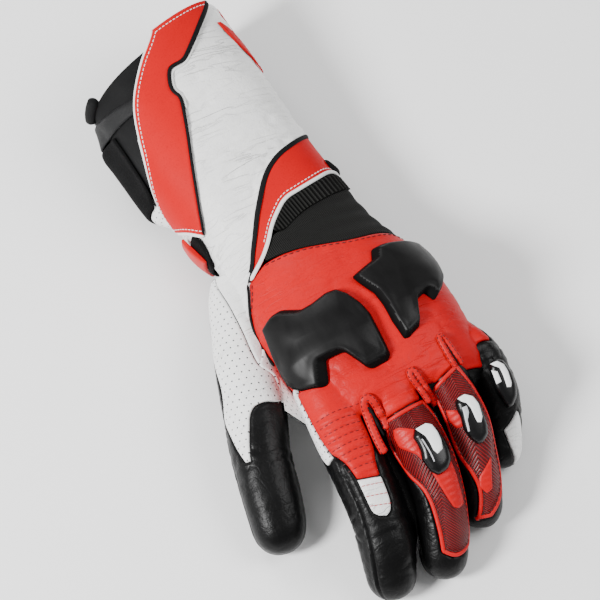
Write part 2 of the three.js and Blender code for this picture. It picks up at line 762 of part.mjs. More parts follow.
function knuckleGuardIndex() {
  const body = sheet(HAND, {
    left: [[171, -67], [176, -72], [187, -78], [200, -83], [209, -80]],
    right: [[177, -8], [182, -3], [191, 3], [200, 1], [209, 0]],
    top: [[171, -67], [172, -57], [178, -44], [178, -35], [176, -20], [177, -8]],
  }, 6, 6, GUARD_CLEARANCE, guardLevel(5));
  const middleLobe = sheet(HAND, {
    left: [[200, -36], [212, -35], [220, -31]],
    right: [[200, 0], [212, 0], [219, -6]],
    bottom: [[220, -31], [222, -20], [219, -6]],
  }, 3, 4, CLEARANCE, guardLevel(4));
  const indexLobe = sheet(HAND, {
    left: [[200, -82], [209, -80], [214, -74]],
    right: [[200, -50], [208, -53], [217, -61]],
    bottom: [[214, -74], [218, -68], [217, -61]],
  }, 3, 4, CLEARANCE, guardLevel(4));
  return without(union([body, middleLobe, indexLobe]), fingerOutsides);
}

function knuckleGuardRing() {
  const body = sheet(HAND, {
    left: [[163, 41], [171, 24], [174, 13], [188, 18], [197, 19]],
    right: [[161, 76], [166, 81], [175, 81], [188, 73], [197, 62]],
    top: [[163, 41], [160, 54], [160, 64], [161, 76]],
  }, 6, 6, CLEARANCE, guardLevel(4.5));
  const ringLobe = sheet(HAND, {
    left: [[190, 18], [205, 18], [215, 19]],
    right: [[190, 52], [200, 45], [212, 37]],
    bottom: [[215, 19], [216, 24], [212, 37]],
  }, 3, 4, CLEARANCE, guardLevel(3.5));
  const littleLobe = sheet(HAND, {
    left: [[186, 57], [195, 55], [201, 56]],
    right: [[186, 75], [192, 69], [201, 59]],
  }, 3, 2, CLEARANCE, guardLevel(2.5));
  return without(union([body, ringLobe, littleLobe]), fingerOutsides);
}

// Hard sliders on the finger knuckles, each with a light insert let into its top.
const SLIDERS = {
  middle: {
    left: [[61.5, -7], [66, -18], [73, -17], [80, -17], [85, -4]],
    right: [[61.5, 24], [66, 36], [73, 42], [80, 40], [85, 14]],
    insert: { left: [[63, 0], [68, 8], [75, 13]], right: [[63, 20], [68, 30], [75, 24]] },
  },
  ring: {
    left: [[59.5, -10], [64, -20], [70, -16], [77, -14], [82, 2]],
    right: [[59.5, 18], [64, 36], [70, 38], [77, 34], [82, 16]],
    insert: { left: [[61, -4], [66, 5], [72, 12]], right: [[61, 16], [66, 26], [72, 24]] },
  },
  little: {
    left: [[47, 0], [52, -8], [60, -6], [67, 14]],
    right: [[47, 20], [52, 30], [60, 36], [67, 32]],
    insert: { left: [[50, -2], [57, 0]], right: [[50, 14], [57, 14]] },
  },
};

function sliderInsertBlock(name, margin, bottom, top) {
  const { left, right } = SLIDERS[name].insert;
  const widen = margin / FINGER_MM_PER_DEGREE;
  const grow = (seam, degrees) => seam.map(([distance, angle], i) => {
    const end = i === 0 ? -1 : i === seam.length - 1 ? 1 : 0;
    return [distance + end * margin, angle + degrees];
  });
  return sheet(FINGERS[name], { left: grow(left, -widen), right: grow(right, widen) }, 3, 2, bottom, top);
}

function slider(name) {
  const { left, right } = SLIDERS[name];
  const crown = (share, power) => 1 - Math.abs(2 * share - 1) ** power;
  const level = (u, v) => SLIDER_EDGE + SLIDER_HEIGHT * crown(v, 3) * crown(u, 4);
  const block = sheet(FINGERS[name], { left, right }, 6, 4, SLIDER_CLEARANCE, level);
  return block.subtract(sliderInsertBlock(name, 0.3, 2.6, 8));
}

function sliderInsert(name) {
  return sliderInsertBlock(name, 0, 2.9, 5.4);
}

// Raised welts round the slits between the fingers: form, distance and angle of each point.
const WEB_LOOPS = {
  index_middle: [
    ['index', 60, 62], ['index', 54, 42], ['index', 44, 36], ['hand', 231, -54], ['hand', 230, -46],
    ['hand', 235, -40], ['middle', 50, -50], ['middle', 55, -60],
  ],
  middle_ring: [
    ['middle', 52, 44], ['middle', 46, 34], ['hand', 230, 2], ['hand', 227, 8], ['hand', 232, 16], ['ring', 50, -62],
  ],
  ring_little: [
    ['ring', 42, 24], ['hand', 222, 44], ['hand', 218, 49], ['hand', 222, 56], ['ring', 45, 44],
  ],
};

function webLoop(name) {
  const points = WEB_LOOPS[name].map(([where, distance, angle]) => {
    const form = where === 'hand' ? HAND : FINGERS[where];
    return form.point(distance, angle, WELT_RADIUS + 0.8);
  });
  return largest(without(bead(points, WELT_RADIUS, 6), fingerOutsides.concat([handOutside])));
}

const PARTS = [
  ['cuff_back_panel', cuffBackPanel, 'white'],
  ['cuff_side_panel', cuffSidePanel, 'white'],
  ['cuff_flap', cuffFlap, 'red'],
  ['cuff_insert', cuffInsert, 'red'],
  ['cuff_accent', cuffAccent, 'red'],
  ['cuff_underside', cuffUnderside, 'black'],
  ['closure_collar', closureCollar, 'black'],
  ['closure_tab', closureTab, 'black'],
  ['closure_band', closureBand, 'grey'],
  ['closure_roll', closureRoll, 'black'],
  ['wrist_strap', wristStrap, 'black'],
  ['strap_pull', strapPull, 'red'],
  ['wrist_tab', wristTab, 'black'],
  ['wrist_rib_band', wristRibBand, 'knit'],
  ['wrist_stretch_panel', wristStretchPanel, 'knit'],
  ['hand_back', handBack, 'red'],
  ['palm', palm, 'black'],
  ['finger_web', fingerWeb, 'black'],
  ['thumb_side_panel', thumbSidePanel, 'white'],
  ['thumb', () => finger('thumb', ['thumbTail', 'thumbSide']), 'black'],
  ['index_finger', () => finger('index', ['indexRed', 'indexPatch', 'indexSide']), 'black'],
  ['middle_finger', () => finger('middle', ['middleRed', 'middleOverlay']), 'black'],
  ['ring_finger', () => finger('ring', ['ringRed', 'ringOverlay']), 'black'],
  ['little_finger', () => finger('little', ['littleRed', 'littleSide']), 'black'],
  ['index_patch', () => fingerPanel('indexPatch'), 'white'],
  ['index_side_panel', () => fingerPanel('indexSide').subtract(handOutside), 'white'],
  ['middle_overlay', () => fingerPanel('middleOverlay').subtract(handOutside), 'darkRed'],
  ['ring_overlay', () => fingerPanel('ringOverlay').subtract(handOutside), 'darkRed'],
  ['little_side_patch', () => fingerPanel('littleSide'), 'white'],
  ['knuckle_guard_index', knuckleGuardIndex, 'hard'],
  ['knuckle_guard_ring', knuckleGuardRing, 'hard'],
  ['middle_slider', () => slider('middle'), 'hard'],
  ['ring_slider', () => slider('ring'), 'hard'],
  ['little_slider', () => slider('little'), 'hard'],
  ['middle_slider_insert', () => sliderInsert('middle'), 'white'],
  ['ring_slider_insert', () => sliderInsert('ring'), 'white'],
  ['little_slider_insert', () => sliderInsert('little'), 'white'],
  ['web_loop_index', () => webLoop('index_middle'), 'red'],
  ['web_loop_middle', () => webLoop('middle_ring'), 'red'],
  ['web_loop_ring', () => webLoop('ring_little'), 'red'],
];

function meshFromSolid(name, solid, colour) {
  const { vertProperties, triVerts } = solid.getMesh();
  const positions = new Float32Array(vertProperties.length);
  for (let i = 0; i < positions.length; i += 1) positions[i] = vertProperties[i] - ORIGIN[i % 3];
  const geometry = new THREE.BufferGeometry();
  geometry.setAttribute('position', new THREE.BufferAttribute(positions, 3));
  geometry.setIndex(new THREE.BufferAttribute(new Uint32Array(triVerts), 1));
  geometry.computeVertexNormals();
  const material = new THREE.MeshStandardMaterial({ color: COLOURS[colour], roughness: 0.6, metalness: 0 });
  const mesh = new THREE.Mesh(geometry, material);
  mesh.name = name;
  return mesh;
}

const group = new THREE.Group();
group.name = 'motorcycle_glove';
for (const [name, build, colour] of PARTS) {
  group.add(meshFromSolid(name, build(), colour));
}

export default group;
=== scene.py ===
import math

import bpy
import numpy as np
from mathutils import Matrix, Vector
from mathutils.bvhtree import BVHTree


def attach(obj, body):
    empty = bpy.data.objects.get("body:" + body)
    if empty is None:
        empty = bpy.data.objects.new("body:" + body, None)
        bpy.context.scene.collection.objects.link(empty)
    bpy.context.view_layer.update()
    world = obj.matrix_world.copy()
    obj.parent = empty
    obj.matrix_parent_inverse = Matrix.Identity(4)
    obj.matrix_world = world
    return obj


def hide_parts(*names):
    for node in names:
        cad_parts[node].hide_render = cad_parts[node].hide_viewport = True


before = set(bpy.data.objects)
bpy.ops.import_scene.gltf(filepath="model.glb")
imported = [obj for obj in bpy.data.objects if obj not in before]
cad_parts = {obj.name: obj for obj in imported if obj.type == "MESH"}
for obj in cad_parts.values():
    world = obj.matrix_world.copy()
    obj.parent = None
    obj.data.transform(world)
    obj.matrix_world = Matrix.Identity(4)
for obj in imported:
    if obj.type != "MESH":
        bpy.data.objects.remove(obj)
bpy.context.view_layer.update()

# Driving sizes in millimetres. The solids have the same ones
MM = 0.001
ORIGIN = np.array([-3.476, -9.212, 0.0])
LEATHER = 2.0
LAP_BOTTOM = 0.8
LAP_TOP = 2.2
PLEAT_PITCH = 4.0
PLEAT_DEPTH = 1.2
PLEAT_START = 30.0
PLEAT_STOP = 66.0
RIB_DEPTH = 1.2
RIB_PITCH = 3.0
CLOSURE_BULGE = 6.5
ROLL_RADIUS = 3.2
WEB_SAG = 1.2
WEB_THICKNESS = 1.2
GUARD_HEIGHT = 6.0
GUARD_BEVEL = 2.6
GUARD_BASE = 0.6
GUARD_RIM = 1.5
GUARD_SHADED_RIM_WIDTH = 1.7
SLIDER_HEIGHT = 5.0
SLIDER_RIM = 1.4
SLIDER_BASE = 0.4
MARK_BASE = SLIDER_HEIGHT - 3.0
WELT_HEIGHT = 1.2
WELT_LIFT = 1.3
LOWEST_WELT = -3.0
STITCH_PITCH = 3.4
STITCH_LENGTH = 2.4
STITCH_RADIUS = 0.32
HAND_MM_PER_DEGREE = 0.72
FINGER_MM_PER_DEGREE = 0.24
FINGER_POWER = 2.2

# Steps of the modelling
EDGE_STATIONS = (0.0, 0.35, 0.8, 1.4, 2.2)
TURN_RADIUS = 1.5
RELIEF_FADE = 2.5
THINNEST = 0.3
OTHER_WAY = [0, 3, 2, 1]
STRIP_ENDS = np.sqrt([0.1, 0.55])
STITCH_STATIONS = np.array([-1.0, -0.72, 0.0, 0.72, 1.0])
STITCH_SCALES = np.array([0.35, 0.85, 1.0, 0.85, 0.35])
STITCH_SIDES = 6
FINE_STITCH = {"length": 1.7, "pitch": 2.4, "radius": 0.25}
CROSS_STITCH = {"crossing": True, "pitch": 4.2, "length": 3.0, "radius": 0.36}
REACH = 6.0
VOXEL = 0.75
FLOOR_HALF = 3.0

# Photograph's camera
CAMERA_AZIMUTH = -26.0
CAMERA_ELEVATION = 65.0
CAMERA_DISTANCE = 1700.0
MM_PER_PIXEL = 0.52
PHOTO_PIXELS = 600
SENSOR = 36.0
AZIMUTH, ELEVATION = math.radians(CAMERA_AZIMUTH), math.radians(CAMERA_ELEVATION)
TOWARDS_CAMERA = np.array([
    math.sin(AZIMUTH) * math.cos(ELEVATION), -math.cos(AZIMUTH) * math.cos(ELEVATION), math.sin(ELEVATION),
])

# Rings of the hand and cuff: x, y, z, yaw, thumb side, little-finger side, up, down, power
HAND_RINGS = [
    [-16, 144, 33, 16, 44.5, 44.5, 32, 35, 2.3],
    [-11, 113, 32, 12, 43, 43, 31, 34, 2.3],
    [-7, 80, 31, 8, 42, 42.5, 29, 33, 2.3],
    [-2, 51, 29, 5, 41, 41.5, 27, 31, 2.3],
    [3, 28, 28, 3, 40, 41, 25, 29.5, 2.3],
    [6, 10, 29, 0, 42, 42, 26, 29.5, 2.3],
    [8, -6, 31, 0, 44, 46, 28, 29, 2.3],
    [10, -28, 34, 0, 46, 50, 29, 27, 2.3],
    [13, -50, 36, 0, 47, 49.5, 29, 24, 2.4],
    [16, -72, 36, 0, 47, 46.5, 25, 20, 2.4],
    [18, -90, 34, 0, 44, 43, 20, 17, 2.4],
    [18, -94, 33.5, 0, 41.5, 40.5, 16.5, 13.5, 2.3],
    [18, -96.8, 33, 0, 36, 35, 9, 7.5, 2.2],
]

# Rings of each finger: x, y, z, half width, half height
FINGER_RINGS = {
    "index": [
        [-18, -50, 41, 15, 15], [-20.5, -85, 39, 14.6, 15], [-21.5, -112, 34, 14.4, 14.5],
        [-22.5, -135, 27, 14.2, 13.5], [-25.5, -151, 20, 13.8, 12.5], [-28, -161, 12, 12.5, 12.4],
    ],
    "middle": [
        [7, -45, 44, 13.5, 15], [9, -79, 43, 13.2, 15], [10.6, -105, 38, 13.2, 14.5],
        [11, -123, 33, 12.8, 14], [8.6, -139, 26, 12.6, 13], [4.6, -152, 19, 12.4, 12.5],
        [0.5, -163, 11.4, 12, 12.2],
    ],
    "ring": [
        [33, -41, 44, 12.2, 14.5], [36.6, -71, 43, 12.2, 14.5], [38, -94, 39, 12, 14.5],
        [37.8, -111, 33, 11.6, 13.5], [35.6, -124, 26, 11, 13], [32.6, -137, 18, 11, 12],
        [29, -147.5, 10.8, 10.8, 11.8],
    ],
    "little": [
        [44, -41, 37, 11.5, 13], [51.5, -66, 36, 11.4, 13], [60.5, -83, 33, 11.4, 13],
        [61.3, -98, 27, 11.3, 12.5], [59.4, -109, 20.5, 10.7, 12], [55.6, -118, 14, 10.2, 11],
        [53, -124, 10, 9.8, 10.9],
    ],
    "thumb": [
        [-26, 20, 24, 13, 15], [-30, 7, 22.5, 16.5, 15.5], [-38, -12, 23, 16.5, 16],
        [-46, -34, 24, 16.5, 16], [-53, -57, 23, 16, 15], [-60, -80, 20, 15, 14],
        [-64, -100, 16.5, 14.5, 13], [-67, -114, 12, 13.5, 12.6],
    ],
}

# Seams on the hand: distance from the cuff rim, and the angle from the top, -90 on the thumb side
LITTLE_SIDE = 92
THUMB_SIDE = -97
CUFF_END = 112
HAND_END = 238.3
INLAY = [
    [0, 60], [4, 53.5], [9.5, 42], [15, 30], [20.5, 16], [23, 8], [22, -1.5], [22.5, -7.5], [26, -12.5],
    [31.5, -17], [36, -17], [39, -14.5], [45.5, -18.5], [59, -28.5], [71.5, -39], [86.5, -51], [99, -62],
    [106, -70],
]
FLAP_EDGE = [
    [0, 2], [3, -4], [6.5, -13], [10, -22], [16.5, -34.5], [23.5, -45], [30.5, -52], [40.5, -59],
    [51.5, -65.5], [63, -75], [71.5, -86], [79, -96], [88, -99],
]
FLAP_END = [[88, -99], [94, -86], [99, -77.5], [106, -70]]
UNDER_FLAP = [
    [0, 48], [10, 33], [16, 12], [20, -3], [25, -26], [34, -31], [49, -35], [63, -45], [75, -56],
]
UNDER_FLAP_END = [[75, -56], [84, -64], [96, -76], [106, -86], [116, -96]]
INSERT_TOP = [
    [80, 92], [82, 80], [84, 72], [88, 51], [91, 33], [97, 12], [107, -11], [116, -30], [130, -48],
    [140, -57], [146, -65],
]
INSERT_BOTTOM = [
    [107, 92], [107, 79], [107, 67], [110, 51], [112, 32], [113, 12], [118, -6], [124, -22],
    [133, -36], [140, -48], [146, -62],
]
RIB_BAND_END = [[127, -22.8], [129.8, -12], [127, 0], [123.8, 20], [121.8, 45], [117.6, 79]]
HAND_TOP = [[154, 92], [154, 78], [151, 66], [151, 39], [148, 19], [143, -15], [141.2, -46]]
HAND_LEFT = [
    [147, -65.8], [152, -69], [157, -74], [161, -81], [168, -90], [174, -97], [200, -99], [238.3, -100],
]

# Panels let into a finger: seams from the hand towards the tip
FINGER_PANELS = {
    "indexRed": {
        "finger": "index",
        "left": [
            [16, -74], [28, -68], [34, -65], [42, -60.5], [50, -52], [54, -39], [57.5, -30],
            [62, -25], [66.5, -21.5],
        ],
        "right": [[16, 54], [28, 50], [37, 41], [43, 40.5], [50, 42], [56.5, 38.5], [61, 31], [69, 26]],
    },
    "indexPatch": {
        "finger": "index",
        "left": [[67.1, -21.3], [72, -21], [80, -20], [84, -17], [86, -6]],
        "right": [[69.6, 26.5], [76, 27], [82, 26], [85.5, 21], [87, 10]],
    },
    "indexSide": {
        "finger": "index",
        "left": [[12, -122], [28, -114], [42, -106], [50, -96], [54, -78]],
        "right": [[12, -78], [28, -71], [34, -68], [42, -63], [50, -55], [52.5, -50]],
    },
    "middleRed": {
        "finger": "middle",
        "left": [[26, -66], [40, -60], [50.5, -49]],
        "right": [[26, 60], [42, 52], [50, 40]],
    },
    "middleOverlay": {
        "finger": "middle",
        "left": [[51.2, -48.5], [58, -72], [67, -87], [81, -66], [88, -39], [96, -27], [110, -15], [121, -9]],
        "right": [[50.7, 40], [58, 58], [72, 73], [81, 77], [100, 82], [112, 84], [120, 70]],
        "bottom": [[121, -9], [125, 25], [120, 70]],
    },
    "ringRed": {
        "finger": "ring",
        "left": [[26, -66], [40, -60], [50, -52]],
        "right": [[26, 60], [38, 50], [44.5, 22]],
    },
    "ringOverlay": {
        "finger": "ring",
        "left": [[50.7, -52], [59, -54], [75, -55], [86, -44], [95, -21], [105, -6], [114, -10], [119, -22]],
        "right": [
            [45.2, 22], [52, 30], [57, 38], [62, 43], [74, 62], [85, 66], [94, 68], [108, 62], [118, 20],
        ],
    },
    "littleRed": {
        "finger": "little",
        "left": [[10, -60], [28, -52], [36, -48]],
        "right": [[10, 66], [28, 60], [43, 40]],
    },
    "littleSide": {
        "finger": "little",
        "left": [[82, 4], [88, 14], [95, 30], [101, 52]],
        "right": [[74, 40], [80, 62], [89, 80], [99, 84]],
    },
    "thumbTail": {
        "finger": "thumb",
        "left": [[6, -58], [13, -49], [20, -39], [33, -15], [45, 0], [54, 9], [61, 19]],
        "right": [[6, 70], [23, 40], [36, 34], [50, 32], [61, 27]],
    },
    "thumbSide": {
        "finger": "thumb",
        "left": [
            [6, -100], [44, -100], [56, -80], [67, -66], [76, -70], [84, -86], [92, -68],
            [101, -53], [108, -40],
        ],
        "right": [
            [6, -60], [13, -51], [20, -41], [33, -17], [45, -2], [54, 7], [62.5, 19], [64, 30], [66.5, 48],
            [79, 64], [80.5, 48], [80, 20], [83, -12], [96, -21], [108, -29],
        ],
    },
}


def run_along(points):
    """Distance of each point from the first one, along their line or down their grid."""
    steps = np.linalg.norm(np.diff(points, axis=0), axis=-1)
    return np.concatenate([np.zeros_like(steps[:1]), np.cumsum(steps, axis=0)])


def unit(vectors):
    return vectors / (np.linalg.norm(vectors, axis=-1, keepdims=True) + 1e-9)


def with_slopes(rows):
    """Distances along the rings, their columns and the slopes of the columns."""
    values = np.array(rows, float)
    distance = run_along(values[:, :3])
    gap = np.diff(distance)[:, None]
    rise = np.diff(values, axis=0) / gap
    slopes = np.empty_like(values)
    slopes[0], slopes[-1] = rise[0], rise[-1]
    slopes[1:-1] = (rise[:-1] * gap[1:] + rise[1:] * gap[:-1]) / (gap[:-1] + gap[1:])
    return distance, values, slopes


def ring_at(rings, at):
    """A ring between the listed ones, from a smooth cubic through each column."""
    distance, values, slopes = rings
    at = np.clip(at, 0, distance[-1])
    i = np.clip(np.searchsorted(distance, at, side="right") - 1, 0, len(distance) - 2)
    span = (distance[i + 1] - distance[i])[..., None]
    q = (at - distance[i])[..., None] / span
    return ((2 * q**3 - 3 * q**2 + 1) * values[i] + (q**3 - 2 * q**2 + q) * slopes[i] * span
            + (-2 * q**3 + 3 * q**2) * values[i + 1] + (q**3 - q**2) * slopes[i + 1] * span)


def superellipse(centre, across, up, widths, heights, degrees, power):
    """Points round a section. 0 degrees is the top, and widths and heights are given for each side."""
    sx, cz = np.sin(np.radians(degrees)), np.cos(np.radians(degrees))
    width = np.where(sx > 0, widths[1], widths[0])
    height = np.where(cz > 0, heights[0], heights[1])
    r = (np.abs(sx / width) ** power + np.abs(cz / height) ** power) ** (-1 / power)
    return centre + (r * sx)[..., None] * across + (r * cz)[..., None] * up


def as_grid(*values):
    return np.broadcast_arrays(*(np.asarray(value, float) for value in values))


def above_floor(points, lift):
    points[..., 2] = np.maximum(points[..., 2], np.where(lift < -LEATHER / 2, -lift, 0.05))
    return points


class Hand:
    """The hand and the cuff: a place for each distance from the rim, angle and lift."""

    per_degree = HAND_MM_PER_DEGREE

    def __init__(self):
        self.rings = with_slopes(HAND_RINGS)
        self.end = self.rings[0][-1]

    def point(self, s, degrees, lift):
        s, degrees, lift = as_grid(s, degrees, lift)
        ring = ring_at(self.rings, s)
        yaw = np.radians(ring[..., 3])
        across = np.stack([np.cos(yaw), np.sin(yaw), np.zeros_like(yaw)], -1)
        centre = ring[..., :3].copy()
        centre[..., 1] -= np.maximum(0, s - self.end)
        widths = (ring[..., 4] + lift, ring[..., 5] + lift)
        heights = (ring[..., 6] + lift, ring[..., 7] + lift)
        up = np.array([0, 0, 1.0])
        return above_floor(superellipse(centre, across, up, widths, heights, degrees, ring[..., 8]), lift)


class Finger:
    """A finger: a place for each distance from its root, angle and lift."""

    per_degree = FINGER_MM_PER_DEGREE

    def __init__(self, rows):
        self.rings = with_slopes(rows)
        self.length = self.rings[0][-1]
        self.round_from = self.length - 3
        self.end = self.length + rows[-1][3] * 0.95

    def axes(self, s):
        ahead = np.where(s >= self.length, self.length, s + 0.5)
        behind = np.where(s >= self.length, self.length - 1, np.maximum(s - 0.5, 0))
        along = unit(ring_at(self.rings, ahead)[..., :3] - ring_at(self.rings, behind)[..., :3])
        across = unit(np.cross(along, [0, 0, 1.0]))
        across *= np.where(across[..., :1] < 0, -1, 1)
        up = np.cross(across, along)
        return along, across, up * np.where(up[..., 2:] < 0, -1, 1)

    def point(self, s, degrees, lift):
        s, degrees, lift = as_grid(s, degrees, lift)
        s = np.minimum(s, self.end)
        ring = ring_at(self.rings, s)
        along, across, up = self.axes(s)
        closing = np.maximum(0, (s - self.round_from) / (self.end - self.round_from))
        share = np.maximum(np.maximum(0, 1 - closing**FINGER_POWER) ** (1 / FINGER_POWER), 0.001)
        half = (ring[..., 3] + lift) * share
        rise = (ring[..., 4] + lift) * share
        reach = np.maximum(0, s - self.length) + lift * closing
        centre = ring[..., :3] + along * reach[..., None]
        return above_floor(
            superellipse(centre, across, up, (half, half), (rise, rise), degrees, FINGER_POWER), lift)


HAND = Hand()
FINGERS = {name: Finger(rows) for name, rows in FINGER_RINGS.items()}

# Smooth noise from a fixed table, for folds and creases
NOISE_SIZE = 32
NOISE_TABLE = np.random.default_rng(11).uniform(-1, 1, (NOISE_SIZE,) * 3)


def noise(x, y, z):
    """Values of about -1 to 1 that change over one unit of the coordinates."""
    grid = [np.floor(c).astype(int) for c in (x, y, z)]
    part = [c - g for c, g in zip((x, y, z), grid)]
    ease = [q * q * (3 - 2 * q) for q in part]
    total = 0
    for corner in range(8):
        bits = [corner >> k & 1 for k in range(3)]
        index = tuple((g + b) % NOISE_SIZE for g, b in zip(grid, bits))
        weight = 1
        for bit, q in zip(bits, ease):
            weight = weight * (q if bit else 1 - q)
        total = total + NOISE_TABLE[index] * weight
    return total


def noise_at(points, size, seed=0):
    x, y, z = (points[..., k] / size + 7.3 * seed for k in range(3))
    return noise(x, y, z)


def crease(values, width):
    """Narrow grooves along the zero lines of a noise."""
    return -np.exp(-((values / width) ** 2))


def smooth_step(share):
    q = np.clip(share, 0, 1)
    return q * q * (3 - 2 * q)


def rounded(points, rounds=2, closed=False):
    """A line with its corners cut again and again, which keeps its ends."""
    points = np.array(points, float)
    for _ in range(rounds):
        ahead = np.roll(points, -1, axis=0) if closed else points[1:]
        here = points if closed else points[:-1]
        cut = np.stack([here * 0.75 + ahead * 0.25, here * 0.25 + ahead * 0.75], 1)
        cut = cut.reshape(-1, points.shape[1])
        points = cut if closed else np.concatenate([points[:1], cut[1:-1], points[-1:]])
    return points


def to_flat(form, seam):
    """A seam with its angles turned into millimetres round the form."""
    flat = np.array(seam, float)
    flat[:, 1] *= form.per_degree
    return flat


def line_length(line):
    return run_along(line)[-1]


def at_shares(line, shares):
    lengths = run_along(line)
    where = np.asarray(shares) * lengths[-1]
    return np.stack([np.interp(where, lengths, line[:, k]) for k in range(line.shape[1])], -1)


def beside(line, offset):
    """A flat line moved sideways: to the left of its direction for offsets above 0."""
    along = unit(np.gradient(line, axis=0))
    return line + np.stack([-along[:, 1], along[:, 0]], -1) * offset


def shares_across(length, step):
    """Shares of a length, closer together near both ends."""
    if length < 4 * EDGE_STATIONS[-1]:
        return np.linspace(0, 1, max(4, round(length / 0.6)) + 1)
    count = max(2, round((length - 2 * EDGE_STATIONS[-1]) / step))
    inside = np.linspace(EDGE_STATIONS[-1], length - EDGE_STATIONS[-1], count + 1)
    ends = np.array(EDGE_STATIONS[:-1])
    return np.concatenate([ends, inside, length - ends[::-1]]) / length


class Piece:
    """Collects shells of one piece, then makes its mesh object."""

    def __init__(self, name):
        self.name = name
        self.vertices, self.faces, self.uvs, self.materials = [], [], [], []
        self.count = 0

    def add(self, vertices, faces, uv=None, material=0):
        vertices = np.asarray(vertices, float).reshape(-1, 3)
        self.vertices.append(vertices)
        self.uvs.append(np.zeros((len(vertices), 2)) if uv is None else np.asarray(uv).reshape(-1, 2))
        self.faces += [[index + self.count for index in face] for face in faces]
        self.materials += [material] * len(faces) if np.isscalar(material) else list(material)
        self.count += len(vertices)

    def make(self, materials, slot, nodes=(), sharp=50):
        mesh = bpy.data.meshes.new(self.name)
        vertices = (np.concatenate(self.vertices) - ORIGIN) * MM
        mesh.from_pydata(vertices.tolist(), [], self.faces)
        layer = mesh.uv_layers.new(name="mm")
        loop_vertices = np.empty(len(mesh.loops), np.int32)
        mesh.loops.foreach_get("vertex_index", loop_vertices)
        layer.data.foreach_set("uv", np.concatenate(self.uvs)[loop_vertices].astype(np.float32).ravel())
        for material in materials:
            mesh.materials.append(material)
        mesh.polygons.foreach_set("material_index", np.array(self.materials, np.int32))
        mesh.shade_smooth()
        mesh.set_sharp_from_angle(angle=math.radians(sharp))
        mesh.update()
        made = bpy.data.objects.new(self.name, mesh)
        bpy.context.scene.collection.objects.link(made)
        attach(made, "root")
        if nodes:
            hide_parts(*nodes)
        return made


def edge_distance(base, edges):
    """Distance in millimetres from each grid point to the nearest of the named edges."""
    from_top = run_along(base)
    from_left = run_along(base.swapaxes(0, 1)).T
    choices = {
        "l": from_left, "r": from_left[:, -1:] - from_left,
        "t": from_top, "b": from_top[-1:] - from_top,
    }
    return np.minimum.reduce([choices[name] for name in edges])


def seam_grid(form, left, right, top, bottom, step):
    """A smooth grid of places between four seams."""
    left, right = rounded(to_flat(form, left)), rounded(to_flat(form, right))
    top = np.array([left[0], right[0]]) if top is None else rounded(to_flat(form, top))
    bottom = np.array([left[-1], right[-1]]) if bottom is None else rounded(to_flat(form, bottom))
    middle = np.array([left[len(left) // 2], right[len(right) // 2]])
    u = shares_across(max(line_length(left), line_length(right)), step)
    v = shares_across(max(line_length(top), line_length(bottom), line_length(middle)), step)
    left, right = at_shares(left, u)[:, None], at_shares(right, u)[:, None]
    top, bottom = at_shares(top, v)[None], at_shares(bottom, v)[None]
    u, v = u[:, None, None], v[None, :, None]
    flat = ((1 - v) * left + v * right + (1 - u) * top + u * bottom
            - (1 - u) * ((1 - v) * left[:1] + v * right[:1]) - u * ((1 - v) * left[-1:] + v * right[-1:]))
    return flat, v[..., 0]


def closed_sheet(outer, inside, flat, rim_material):
    """A sheet with an outer face, an inner face and a rim between them."""
    index = np.arange(outer[..., 0].size).reshape(outer.shape[:2])
    quads = np.stack([index[:-1, :-1], index[1:, :-1], index[1:, 1:], index[:-1, 1:]], -1).reshape(-1, 4)
    rim = np.concatenate([index[:, 0], index[-1, 1:], index[-2::-1, -1], index[0, -2:0:-1]])
    ahead = np.roll(rim, -1)
    walls = np.stack([rim, rim + index.size, ahead + index.size, ahead], -1)
    faces = quads.tolist() + (quads + index.size)[:, ::-1].tolist() + walls.tolist()
    materials = [0] * len(quads) + [1] * len(quads) + [rim_material] * len(walls)
    vertices = np.concatenate([outer.reshape(-1, 3), inside.reshape(-1, 3)])
    return vertices, faces, np.concatenate([flat.reshape(-1, 2)] * 2), materials


def sheet(form, left, right, top=None, bottom=None, step=1.2, lift=0.0, inner=-LEATHER, edges="lrtb",
          drop=0.9, relief=None):
    """A closed sheet on a form between four seams, with turned-down edges and a relief."""
    flat, v = seam_grid(form, left, right, top, bottom, step)
    s, degrees = flat[..., 0], flat[..., 1] / form.per_degree
    base = form.point(s, degrees, 0.0)
    distance = edge_distance(base, edges)
    turn = 1 - np.minimum(distance / TURN_RADIUS, 1)
    level = lift(s, degrees) if callable(lift) else lift
    height = level - drop * (1 - np.sqrt(np.maximum(0, 1 - turn**2)))
    if relief is not None:
        height = height + relief(s, flat[..., 1], base, v) * smooth_step(distance / RELIEF_FADE)
    under = np.minimum(inner(s, degrees) if callable(inner) else inner, height - THINNEST)
    return closed_sheet(form.point(s, degrees, height), form.point(s, degrees, under), flat[..., ::-1], 0)


def ring_faces(index):
    """Faces between the rings of a tube, with a ring in each row."""
    ahead = np.roll(index, -1, axis=1)
    return np.stack([index[:-1], ahead[:-1], ahead[1:], index[1:]], -1).reshape(-1, 4)


